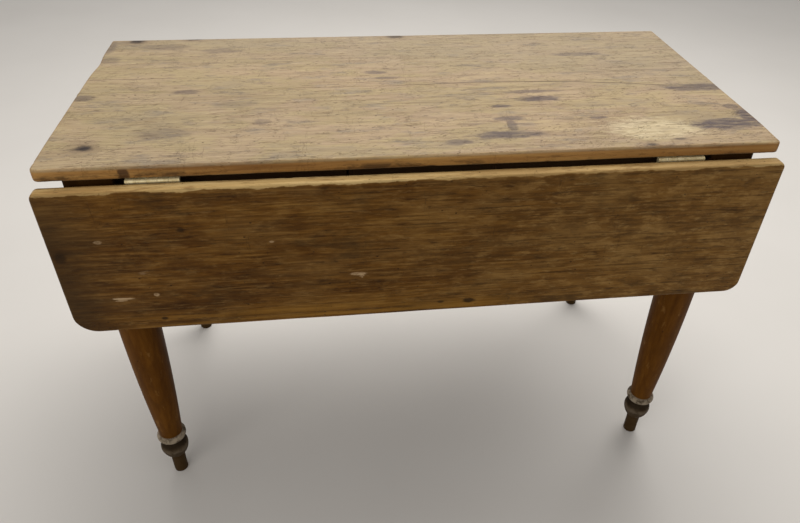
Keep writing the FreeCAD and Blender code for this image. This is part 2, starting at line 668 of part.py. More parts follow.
def make_top_screws(doc):
    """One screw up through each glue block into the top."""
    pieces = []
    for side, sign in TABLE_SIDES.items():
        for step in SCREW_ROW:
            base = (f"{step} * Dims.glue_block_pitch", f"{sign} * {GLUE_Y}",
                    f"{UNDERSIDE} - Dims.glue_block_side")
            pieces.append(screw(doc, f"{side}_top_screw_{step + 1}", "Dims.top_screw_length",
                                base, ALONG_Z))
    return labelled(gather(doc, "top_screws", pieces), "top_screws")


# ---- outer rails and fly brackets ----------------------------------------------------------

def add_fingers(body, name, numbers, half, reach, gap):
    """Fingers of the wooden knuckle: a round barrel on the pivot and a neck back to the wood."""
    for number in numbers:
        low = f"({number} * Dims.finger_height + {gap})"
        height = f"Dims.finger_height - 2 * {gap}"
        barrel = sketch_on(body, "XY_Plane", f"{name}_barrel_{number}", low)
        circle(barrel, "0", "0", half)
        pad(body, barrel, height)
        neck = sketch_on(body, "XY_Plane", f"{name}_neck_{number}", low)
        x_ends = ordered(reach, "0", f"{half} + 2 * Dims.shoulder_gap")
        rectangle(neck, *x_ends, f"-({half})", half)
        pad(body, neck, height)


def bore_pivot(body, name, radius):
    """The hole for the iron pin."""
    hole = sketch_on(body, "XY_Plane", f"{name}_bore", "-1")
    circle(hole, "0", "0", radius)
    pocket(body, hole, "Dims.outer_rail_height + 2", along_normal=True)


def at_pivot(side):
    """Where the bracket's pivot stands: its point by expressions, and its turn."""
    sign = TABLE_SIDES[side]
    return f"{sign} * {PIVOT_X}", f"{sign} * {OUTER_RAIL_Y}", OUTER_RAIL_Z, turned(side)


def make_fly_bracket(doc, side):
    """The swinging arm: knuckle fingers, a bevelled tip and a rising underside."""
    label = f"{side}_fly_bracket"
    body = new_body(doc, label)
    half = "(Dims.bracket_thickness / 2)"
    start = "Dims.outer_rail_thickness / 2 + Dims.shoulder_gap"
    arm = sketch_on(body, "XY_Plane", f"{label}_arm")
    outline(arm, [(start, f"-{half}"), ("Dims.bracket_length", f"-{half}"),
                  ("Dims.bracket_length - Dims.bracket_bevel", half), (start, half)])
    pad(body, arm, "Dims.outer_rail_height - Dims.bracket_top_gap")
    add_fingers(body, label, MOVING_KNUCKLES, half, 1, "Dims.finger_gap")
    bore_pivot(body, label, "Dims.pivot_pin_radius + Dims.pin_clearance")
    shape = sketch_on(body, "XZ_Plane", f"{label}_underside", "-Dims.outer_rail_thickness")
    outline(shape, [("Dims.bracket_shape_start", "-1"), ("Dims.bracket_length + 1", "-1"),
                    ("Dims.bracket_length + 1", "Dims.bracket_tip_rise"),
                    ("Dims.bracket_shape_end", "Dims.bracket_tip_rise"),
                    ("Dims.bracket_shape_start", "0")])
    pocket(body, shape, "2 * Dims.outer_rail_thickness", along_normal=True)
    return place(body, *at_pivot(side))


def make_hung_rail(doc, side):
    """The outer rail that carries the fixed fingers of the knuckle."""
    label = f"{side}_outer_rail_hinged"
    body = new_body(doc, label)
    half = "(Dims.outer_rail_thickness / 2)"
    web = sketch_on(body, "XY_Plane", f"{label}_web")
    rectangle(web, f"-({LEG_FACE_X} - {PIVOT_X})", f"-({half} + Dims.shoulder_gap)",
              f"-{half}", half)
    pad(body, web, "Dims.outer_rail_height")
    add_fingers(body, label, FIXED_KNUCKLES, half, -1, "0")
    bore_pivot(body, label, "Dims.pivot_pin_radius")
    return place(body, *at_pivot(side))


def make_plain_rail(doc, side):
    """The outer rail that the bracket's tip closes against."""
    label = f"{side}_outer_rail_plain"
    body = new_body(doc, label)
    half = "Dims.outer_rail_thickness / 2"
    tip = "Dims.bracket_length + Dims.bevel_gap"
    web = sketch_on(body, "XY_Plane", f"{label}_web")
    outline(web, [(tip, f"-{half}"), (f"{LEG_FACE_X} + {PIVOT_X}", f"-{half}"),
                  (f"{LEG_FACE_X} + {PIVOT_X}", half), (f"{tip} - Dims.bracket_bevel", half)])
    pad(body, web, "Dims.outer_rail_height")
    return place(body, *at_pivot(side))


def make_pivot_pin(doc, side):
    """Iron pin of the wooden knuckle joint."""
    label = f"{side}_fly_pin"
    x, y, z, _ = at_pivot(side)
    pin = cylinder(doc, label, "Dims.pivot_pin_radius",
                   "Dims.outer_rail_height + Dims.pivot_pin_drop",
                   (x, y, f"{z} - Dims.pivot_pin_drop"))
    return labelled(pin, label)


# ---- the whole table -----------------------------------------------------------------------

def make_table(doc, sheet):
    """Every sub-part, in the order of assembly."""
    parts = []
    for side in TABLE_SIDES:
        parts.append(make_top_board(doc, sheet, side))
        parts.append(make_leaf(doc, sheet, side))
        parts.append(make_inner_rail(doc, side))
        parts.append(make_hung_rail(doc, side))
        parts.append(make_plain_rail(doc, side))
        parts.append(make_fly_bracket(doc, side))
        parts.append(make_pivot_pin(doc, side))
        for hand in HINGE_SIDES:
            parts.append(make_leg(doc, sheet, side, hand))
            parts.extend(make_hinge(doc, side, hand))
        for kind in ("top", "leaf"):
            parts.append(make_hinge_screws(doc, side, kind))
    for hand in HINGE_SIDES:
        parts.append(make_end_rail(doc, hand))
    parts.append(make_tenon_pegs(doc))
    parts.append(make_glue_blocks(doc))
    parts.append(make_top_screws(doc))
    return parts


def check_document(doc, parts):
    """Stop if any object failed to compute or any sub-part's shape is unsound."""
    for item in doc.Objects:
        if "Invalid" in item.State or "Error" in item.State:
            raise RuntimeError(f"{item.Label}: {item.State}")
    for part in parts:
        if part.Shape.isNull() or not part.Shape.isValid():
            raise RuntimeError(f"{part.Label}: unsound shape")


def main():
    """Build the table and write one STEP file per sub-part."""
    doc = FreeCAD.newDocument("DropLeafTable")
    sheet = make_sheet(doc)
    parts = make_table(doc, sheet)
    doc.recompute()
    check_document(doc, parts)
    os.makedirs("parts", exist_ok=True)
    for part in parts:
        part.Shape.exportStep(os.path.join("parts", f"{part.Label}.step"))
        print(f"{part.Label}: {len(part.Shape.Solids)} solid(s), {part.Shape.Volume:.0f} mm3")


main()
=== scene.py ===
"""An old pine drop leaf table: a scrubbed top, dark hanging leaves and turned legs.

Metres, in the frame of the CAD model. Sizes that the frame holds are read from it.
"""

import itertools
import math

import bpy
import numpy as np
from mathutils import Matrix, Quaternion, Vector


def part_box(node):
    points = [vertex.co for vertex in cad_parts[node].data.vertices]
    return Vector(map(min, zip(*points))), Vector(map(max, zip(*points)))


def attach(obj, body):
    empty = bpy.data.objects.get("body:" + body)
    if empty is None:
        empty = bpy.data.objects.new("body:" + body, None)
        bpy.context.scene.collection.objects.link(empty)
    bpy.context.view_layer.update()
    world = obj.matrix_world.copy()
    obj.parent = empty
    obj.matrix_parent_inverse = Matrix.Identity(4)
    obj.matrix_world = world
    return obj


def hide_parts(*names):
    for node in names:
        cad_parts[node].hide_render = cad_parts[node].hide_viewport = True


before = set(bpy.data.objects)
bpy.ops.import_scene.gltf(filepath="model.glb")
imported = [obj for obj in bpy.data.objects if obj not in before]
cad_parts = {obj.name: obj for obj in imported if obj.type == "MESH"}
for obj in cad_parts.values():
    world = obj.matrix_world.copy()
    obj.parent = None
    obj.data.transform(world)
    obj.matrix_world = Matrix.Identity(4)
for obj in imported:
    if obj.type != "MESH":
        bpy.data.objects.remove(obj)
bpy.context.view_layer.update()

MM = 0.001
SIDES = {"front": -1, "rear": 1}
HANDS = {"left": -1, "right": 1}
X_AXIS, Y_AXIS, Z_AXIS = (1, 0, 0), (0, 1, 0), (0, 0, 1)


# ---- noise and meshes ----

def lattice(cells, seed):
    """Repeatable numbers from 0 to 1, one for each whole-number cell."""
    mask = 0x7FFFFFFF
    value = (cells[..., 0] * 374761393 + cells[..., 1] * 668265263
             + cells[..., 2] * 1013904223 + seed * 1274126177) & mask
    value = ((value ^ (value >> 13)) * 1103515245 + 12345) & mask
    value = ((value ^ (value >> 15)) * 69069 + 362437) & mask
    return (value ^ (value >> 16)) / mask


def noise(points, size, seed, octaves=3):
    """Smooth noise from -1 to 1. size is the largest feature, one length or one for each axis."""
    total = 0.0
    weight = 1.0
    sum_of_weights = 0.0
    for octave in range(octaves):
        spot = points / np.asarray(size) * 2 ** octave + seed * 3.17
        base = np.floor(spot).astype(np.int64)
        part = spot - base
        part = part * part * (3 - 2 * part)
        value = 0.0
        for corner in itertools.product((0, 1), repeat=3):
            share = np.prod(np.where(corner, part, 1 - part), axis=-1)
            value = value + share * lattice(base + np.array(corner), seed + octave)
        total = total + weight * (value * 2 - 1)
        sum_of_weights += weight
        weight *= 0.5
    return total / sum_of_weights


def add_object(name, data):
    """An object in the scene."""
    item = bpy.data.objects.new(name, data)
    bpy.context.scene.collection.objects.link(item)
    return item


def new_object(name, points, faces, smooth=True):
    """A mesh object in the scene."""
    mesh = bpy.data.meshes.new(name)
    mesh.from_pydata([tuple(point) for point in points], [], faces)
    mesh.validate()
    mesh.update()
    mesh.polygons.foreach_set("use_smooth", [smooth] * len(mesh.polygons))
    return add_object(name, mesh)


def grid_faces(rows, width, closed=True):
    """Faces between rows of points. A closed grid joins each row's last point to its first."""
    faces = []
    for start in range(0, (rows - 1) * width, width):
        for column in range(width if closed else width - 1):
            here, following = start + column, start + (column + 1) % width
            faces.append((here, following, following + width, here + width))
    return faces


def vertex_array(piece, name="co", source="vertices"):
    """Positions or normals of a mesh as rows of three."""
    items = getattr(piece.data, source)
    values = np.empty(len(items) * 3)
    items.foreach_get(name, values)
    return values.reshape(-1, 3)


def move_to(piece, points):
    """Give the vertices of a mesh new positions."""
    piece.data.vertices.foreach_set("co", points.ravel())
    piece.data.update()


def sink(piece, depth):
    """Push each vertex inwards along its normal by a depth in metres."""
    normals = vertex_array(piece, "vector", "vertex_normals")
    move_to(piece, vertex_array(piece) - normals * np.maximum(depth, 0)[:, None])


def store_arris(piece, distances):
    """Keep each vertex's distance from the nearest arris, for the material to read."""
    layer = piece.data.attributes.new("arris", "FLOAT", "POINT")
    layer.data.foreach_set("value", np.asarray(distances, dtype=np.float32))


def corners(node):
    """The low and the high corner of a CAD node's box."""
    return [Vector(corner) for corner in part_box(node)]


def finish_piece(piece, material, body, *nodes):
    """Give a piece its material and body, and the CAD nodes that it stands for."""
    piece.data.materials.append(material)
    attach(piece, body)
    if nodes:
        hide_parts(*nodes)
    return piece


# ---- worn boards ----

ARRIS_TURNS = 5
END_STEPS = 6
TIP_SHARE = 0.12
DENT_RADII = (1.5 * MM, 5 * MM)
DENT_DEPTH = 0.5 * MM


class Slab:
    """A board as a grid of sections along its length.

    Its own axes are u along the length from the middle, v across the width from the near edge
    and w through the thickness. The near corners share a radius, the far ones have one each.
    """

    def __init__(self, length, width, thickness, arris, near_arris=None, near_corner=0.0,
                 far_corners=(0.0, 0.0), step=3 * MM, under=None):
        self.length, self.width, self.thickness = length, width, thickness
        self.arris, self.near_arris, self.under = arris, near_arris or arris, under or arris
        self.near_corner, self.far_corners, self.step = near_corner, far_corners, step
        self.make_loop()
        self.make_grid()

    def make_loop(self):
        """Points round one section: share of the width, level from the underside at 0 to the
        upper face at 1, and the direction of the arris in v and w. The second half, from the
        far edge of the underside on, mirrors the first."""
        rows = max(2, round((self.thickness - self.arris - self.under) / self.step))
        columns = round(self.width / self.step)
        quarter = [math.pi / 2 * index / ARRIS_TURNS for index in range(1, ARRIS_TURNS)]
        half = [(index / columns, 1, 0, 1) for index in range(columns + 1)]
        half += [(1, 1, math.sin(angle), math.cos(angle)) for angle in quarter]
        half += [(1, 1 - index / rows, 1, 0) for index in range(rows + 1)]
        half += [(1, 0, math.cos(angle), -math.sin(angle)) for angle in quarter]
        self.loop = np.concatenate((half, (1, 1, 0, 0) - np.array(half)))
        self.columns, self.bottom_start = columns, len(half)

    def end_distances(self):
        """Distances of the sections from an end, close together where it is rounded."""
        def quarter(radius, count):
            turns = (math.pi / 2 * index / count for index in range(1, count + 1))
            return [radius * (1 - math.cos(turn)) for turn in turns]

        distances = [0.0] + quarter(self.arris, END_STEPS)
        radius = max(self.near_corner, *self.far_corners)
        if radius > self.arris:
            count = max(5, math.ceil(radius * 1.6 / self.step))
            distances += [far for far in quarter(radius, count) if far > self.arris * 1.15]
        return distances

    def inset(self, radius, distance):
        """How far a rounded corner pulls the edge in, at a distance from the end."""
        if distance >= radius:
            return 0.0
        return radius - math.sqrt(radius ** 2 - (radius - distance) ** 2)

    def make_grid(self):
        """All vertices in u, v, w and all faces."""
        ends = self.end_distances()
        middle = self.length / 2 - ends[-1]
        count = max(2, round(2 * middle / self.step))
        stations = [(-self.length / 2 + distance, distance) for distance in ends]
        for index in range(1, count):
            stations.append((-middle + 2 * middle * index / count, self.length))
        stations += [(self.length / 2 - distance, distance) for distance in reversed(ends)]
        points = []
        size = len(self.loop)
        across, level, out, up = self.loop.T
        far_reach = self.under + (self.arris - self.under) * level
        near_reach = np.minimum(self.near_arris, far_reach)
        core = self.under + (self.thickness - self.arris - self.under) * level
        for u, distance in stations:
            share = 1.0
            if distance < self.arris:
                share = max(TIP_SHARE, math.sqrt(1 - (1 - distance / self.arris) ** 2))
            far_corner = self.far_corners[1 if u > 0 else 0]
            near = self.inset(self.near_corner, distance) + near_reach
            far = self.width - self.inset(far_corner, distance) - far_reach
            section = np.empty((size, 3))
            section[:, 0] = u
            section[:, 1] = near + (far - near) * across
            section[:, 1] += out * share * np.where(out < 0, near_reach, far_reach)
            section[:, 2] = core + up * far_reach * share
            points.append(section)
        self.points = np.concatenate(points)
        self.faces = [(a, d, c, b) for a, b, c, d in grid_faces(len(stations), size)]
        self.faces += [face[::-1] for face in self.cap(0)]
        self.faces += self.cap((len(stations) - 1) * size)

    def cap(self, start):
        """Faces that close one end: a strip over the width and one face at each edge."""
        last = self.bottom_start + self.columns
        faces = []
        for column in range(self.columns):
            faces.append([start + column, start + last - column,
                          start + last - column - 1, start + column + 1])
        far = [start + index for index in range(self.columns, self.bottom_start + 1)]
        near = [start + index for index in range(last, len(self.loop))] + [start]
        return faces + [far[::-1], near[::-1]]

    def edge_distance(self):
        """Distance of every vertex from the nearest arris, round the outline seen face on."""
        u, v, w = self.points.T
        from_end = self.length / 2 - np.abs(u)
        far_radius = np.where(u > 0, self.far_corners[1], self.far_corners[0])
        outline = np.full(len(u), 1.0)
        for from_edge, radius in ((v, self.near_corner), (self.width - v, far_radius)):
            inside = np.minimum(from_end, from_edge)
            corner = (from_end < radius) & (from_edge < radius)
            reach = np.hypot(radius - from_end, radius - from_edge)
            outline = np.minimum(outline, np.where(corner, radius - reach, inside))
        return np.maximum(outline, np.minimum(w, self.thickness - w))

    def build(self, name, axes, origin):
        """The board as an object. axes are the directions that u, v and w take."""
        axes = np.array(axes, dtype=float)
        placed = self.points @ axes + np.array(Vector(origin))
        mirrored = np.linalg.det(axes) < 0
        faces = [face[::-1] for face in self.faces] if mirrored else self.faces
        return new_object(name, placed, faces)


def worn_depth(slab, placed, seed, wear, wave):
    """How deep use has worn a board: rounded and chipped arrises and a slightly uneven face."""
    near_arris = np.exp(-(slab.edge_distance() / (2.6 * MM)) ** 2)
    soft = 0.35 + 0.65 * np.clip(noise(placed, 0.11, seed, 2) + 0.4, 0, 1.4)
    chips = np.clip(noise(placed, (0.030, 0.014, 0.014), seed + 5) - 0.34, 0, 1)
    depth = near_arris * wear * (0.8 * MM * soft + 4.0 * MM * chips)
    return depth + wave * (1 + noise(placed, (0.25, 0.05, 0.05), seed + 9)) / 2


def dents(placed, count, seed, low, high):
    """Depth of small bruises scattered over a box."""
    rng = np.random.default_rng(seed)
    depth = np.zeros(len(placed))
    for _ in range(count):
        centre = rng.uniform(low, high)
        radius = rng.uniform(*DENT_RADII)
        stretch = np.array((1 / rng.uniform(1, 2.2), 1, 1))
        reach = np.linalg.norm((placed - centre) * stretch, axis=1) / radius
        depth += DENT_DEPTH * rng.uniform(0.3, 1) * np.clip(1 - reach ** 2, 0, 1)
    return depth


# ---- node graphs ----

class Graph:
    """Short calls for building a material's nodes. Its colour is painted on in layers."""

    def __init__(self, name):
        self.material = bpy.data.materials.new(name)
        self.material.use_nodes = True
        self.tree = self.material.node_tree
        self.shader = self.tree.nodes["Principled BSDF"]
        self.place = self.node("ShaderNodeTexCoord").outputs["Object"]
        self.colour = None

    def node(self, kind, **settings):
        item = self.tree.nodes.new(kind)
        for name, value in settings.items():
            setattr(item, name, value)
        return item

    def feed(self, socket, value):
        if isinstance(value, bpy.types.NodeSocket):
            self.tree.links.new(value, socket)
        elif value is not None:
            socket.default_value = value

    def feed_all(self, item, *values):
        for socket, value in zip(item.inputs, values):
            self.feed(socket, value)
        return item.outputs[0]

    def math(self, operation, *values):
        return self.feed_all(self.node("ShaderNodeMath", operation=operation), *values)

    def times(self, first, second):
        return self.math("MULTIPLY", first, second)

    def scaled(self, value, factor, plus):
        return self.math("MULTIPLY_ADD", value, factor, plus)

    def apart(self, first, second):
        return self.math("ABSOLUTE", self.math("SUBTRACT", first, second))

    def total(self, *parts, start=None):
        """Sum of values, each times its weight."""
        for value, weight in parts:
            so_far = () if start is None else (start,)
            start = self.math("MULTIPLY_ADD" if so_far else "MULTIPLY", value, weight, *so_far)
        return start

    def most(self, *parts):
        """Largest of some values, each times its weight."""
        result = None
        for value, weight in parts:
            value = value if weight == 1 else self.times(value, weight)
            result = value if result is None else self.math("MAXIMUM", result, value)
        return result

    def split(self, vector):
        item = self.node("ShaderNodeSeparateXYZ")
        self.feed(item.inputs[0], vector)
        return tuple(item.outputs)

    def join(self, x, y, z):
        return self.feed_all(self.node("ShaderNodeCombineXYZ"), x, y, z)

    def vector(self, operation, first, second):
        return self.feed_all(self.node("ShaderNodeVectorMath", operation=operation), first, second)

    def length(self, vector):
        item = self.node("ShaderNodeVectorMath", operation="LENGTH")
        self.feed(item.inputs[0], vector)
        return item.outputs["Value"]

    def texture(self, kind, vector, stretch, **inputs):
        """A texture of features that are 1 over stretch long. The last number of stretch
        holds for the axes that it leaves out."""
        item = self.node(kind)
        scale = (*stretch, stretch[-1], stretch[-1])[:3]
        self.feed(item.inputs["Vector"], self.vector("MULTIPLY", vector, scale))
        item.inputs["Scale"].default_value = 1
        for name, value in inputs.items():
            item.inputs[name].default_value = value
        return item.outputs

    def noise(self, vector, stretch, detail, roughness=0.5, offset=None, distortion=0):
        if offset:
            vector = self.vector("ADD", vector, offset)
        return self.texture("ShaderNodeTexNoise", vector, stretch, Detail=detail,
                            Roughness=roughness, Distortion=distortion)["Fac"]

    def band(self, value, low, high, start, end):
        """From start, where the value is low, smoothly to end, where it is high."""
        item = self.node("ShaderNodeMapRange", interpolation_type="SMOOTHSTEP")
        return self.feed_all(item, value, low, high, start, end)

    def rise(self, value, low, high, end=1):
        return self.band(value, low, high, 0, end)

    def fall(self, value, low, high, start=1):
        return self.band(value, low, high, start, 0)

    def stripe(self, value, start, full, fading, end):
        """1 between two levels in millimetres, 0 further out."""
        return self.times(self.rise(value, start * MM, full * MM),
                          self.fall(value, fading * MM, end * MM))

    def mix(self, factor, first, second, blend="MIX"):
        item = self.node("ShaderNodeMix", data_type="RGBA", blend_type=blend)
        self.feed(item.inputs[0], factor)
        for socket, colour in zip(item.inputs[6:8], (first, second)):
            self.feed(socket, colour if isinstance(colour, bpy.types.NodeSocket) else (*colour, 1))
        return item.outputs[2]

    def paint(self, mask, colour, strength=1):
        """Cover what is painted so far with a colour, where the mask is 1."""
        self.colour = self.mix(self.most((mask, strength)), self.colour, colour)

    def ramp(self, value, *stops):
        """Colours along a value, from rows of its level, red, green and blue."""
        item = self.node("ShaderNodeValToRGB")
        self.feed(item.inputs[0], value)
        elements = item.color_ramp.elements
        while len(elements) < len(stops):
            elements.new(0.5)
        for element, (position, *colour) in zip(elements, stops):
            element.position = position
            element.color = (*colour, 1)
        return item.outputs[0]

    def stored(self, name):
        return self.node("ShaderNodeAttribute", attribute_name=name).outputs["Fac"]

    def spot(self, vector, place, rough, soft, grow=1):
        """1 inside an ellipse with a ragged edge, 0 outside. place is its centre and half sizes
        in millimetres, and rough is a noise from 0 to 1."""
        x, y, half_x, half_y = (value * MM for value in place[:4])
        away = self.vector("SUBTRACT", vector, (x, y, 0))
        away = self.vector("MULTIPLY", away, (1 / (half_x * grow), 1 / (half_y * grow), 0))
        reach = self.math("ADD", self.length(away), self.scaled(rough, 1.6, -0.8))
        return self.fall(reach, 1 - soft, 1 + soft)

    def spots(self, vector, rows, rough, soft):
        """Many spots at once, from rows of place and strength."""
        return self.most(*((self.spot(vector, row, rough, soft), row[4]) for row in rows))

    def finish(self, roughness, height=None, depth=0, **sockets):
        """Wire up the shader, with bumps of a depth in metres where a height is given."""
        self.feed(self.shader.inputs["Base Color"], self.colour)
        self.feed(self.shader.inputs["Roughness"], roughness)
        if height is not None:
            bump = self.node("ShaderNodeBump")
            bump.inputs["Strength"].default_value = 1
            bump.inputs["Distance"].default_value = depth
            self.feed(bump.inputs["Height"], height)
            self.feed(self.shader.inputs["Normal"], bump.outputs[0])
        for name, value in sockets.items():
            self.shader.inputs[name.replace("_", " ")].default_value = value
        return self.material


def grain(graph, vector, pitch, pith, slope, wander=0.012):
    """Growth rings and fibre of wood whose length is the vector's first axis.

    Returns rings (sharp dark late wood at 1), streaks, fibre and broad patches, all 0 to 1.
    """
    along, across, through = graph.split(vector)
    sway = graph.noise(vector, (1.6, 5), 2)
    shake = graph.noise(vector, (5, 38), 3, 0.55)
    middle_y = graph.scaled(sway, wander * 6, pith[0] - wander * 3)
    middle_z = graph.scaled(along, slope, pith[1])
    off_y = graph.math("SUBTRACT", across, middle_y)
    off_z = graph.math("SUBTRACT", through, middle_z)
    radius = graph.scaled(shake, wander * 0.55, graph.length(graph.join(0, off_y, off_z)))
    phase = graph.math("FRACT", graph.math("DIVIDE", radius, pitch))
    rings = graph.times(graph.math("POWER", graph.rise(phase, 0.15, 0.86), 2.2),
                        graph.fall(phase, 0.9, 1))
    streaks = graph.noise(vector, (3.5, 95), 5, 0.6)
    fibre = graph.noise(vector, (26, 900), 3, 0.6)
    patches = graph.noise(vector, (2.2, 9), 4, 0.55)
    return rings, streaks, fibre, patches


def hairlines(graph, vector, stretch, width, cover):
    """Thin wandering scratches: 1 on a line, 0 off it. cover is how much of the area has them."""
    field = graph.noise(vector, stretch, 2, distortion=0.4)
    wide = [axis * 0.45 for axis in stretch]
    gate = graph.noise(vector, wide, 2, 0.5, (3.1, 1.7, 0.4))
    return graph.times(graph.fall(graph.apart(field, 0.5), 0, width),
                       graph.rise(gate, 0.62 - cover, 0.7 - cover))


def specks(graph, vector, stretch, share, size):
    """Small scattered dots: worm holes, bruises and spatter."""
    cells = graph.texture("ShaderNodeTexVoronoi", vector, stretch)
    pick, spread, _ = graph.split(cells["Color"])
    chosen = graph.math("GREATER_THAN", pick, 1 - share)
    reach = graph.scaled(spread, size * 0.7, size * 0.3)
    return graph.times(chosen, graph.fall(graph.math("DIVIDE", cells["Distance"], reach), 0.6, 1))


# ---- materials ----

UNDERSIDE, TOP_HEIGHT = (corner[2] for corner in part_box("top_board_front"))
LEG_X, LEG_Y = 0.492, 0.218
LEG_TINT = (1, 0.82, 0.56, 1)
LEAF_TINT = (1, 0.82, 0.58, 1)

# Ink and burn marks on the top, and below them its knots: centre along X and Y and half sizes
# in millimetres, and strength.
DARK_STAINS = (
    (206, -43, 50, 7, 0.6), (217, -73, 36, 12, 0.9), (148, -98, 18, 5, 0.8),
    (149, -147, 24, 8, 0.75), (148, -172, 8, 24, 0.7), (135, -203, 54, 12, 0.85),
    (52, -222, 22, 10, 0.65), (297, -154, 16, 5, 0.75), (350, 131, 46, 10, 0.6),
    (535, -44, 72, 15, 0.8), (505, -192, 62, 19, 0.95), (562, -170, 24, 34, 0.95),
    (545, -128, 14, 10, 0.7), (-55, 62, 20, 8, 0.65), (-35, 36, 24, 6, 0.6),
    (-400, -160, 40, 18, 0.45), (-300, -60, 30, 14, 0.35), (-385, -5, 20, 10, 0.6),
    (-552, -20, 20, 12, 0.6), (-545, 150, 20, 16, 0.5), (-560, 215, 12, 30, 0.55),
    (-250, -130, 12, 10, 0.45), (-455, 215, 40, 16, 0.45), (-350, 190, 30, 14, 0.4),
)
TOP_KNOTS = (
    (-504, -200, 12, 8, 1), (-515, 250, 14, 9, 0.95), (-405, 257, 18, 5, 0.8),
    (0, 250, 16, 7, 0.75), (350, -253, 7, 4, 0.75), (403, -238, 10, 3, 0.6),
)
BARE_PATCH = (376, -200, 72, 38)
# A knot on the top's front edge. Its height is drawn out, so that it runs down the edge.
EDGE_KNOT_STRETCH = 0.35
EDGE_KNOT = (-438, 728 * EDGE_KNOT_STRETCH, 7, 8)

# Pale chips in the front leaf's stain, and its knots: centre along X and height and half sizes
# in millimetres, and strength.
LEAF_CHIPS = (
    (-111, 541, 12, 3, 0.75), (-105, 536, 4, 7, 0.8), (-478, 518, 14, 2, 0.75),
    (-482, 514, 8, 2, 0.55), (-428, 523, 4, 3, 0.75), (-491, 627, 5, 3, 0.45),
    (-241, 613, 4, 2, 0.45), (-440, 566, 12, 4, 0.25),
)
LEAF_KNOTS = (
    (74, 470, 10, 5, 0.85), (26, 471, 6, 3, 0.65), (-425, 473, 5, 3, 0.8),
    (-370, 643, 6, 4, 0.7), (-551, 602, 8, 10, 0.7),
)

# Heights on a leg in millimetres where a tone starts, is full, fades and ends.
CROWN = (71, 76, 80, 85)
WAIST = (83, 89, 101.5, 103.5)
RING = (103.5, 107, 117.5, 119)


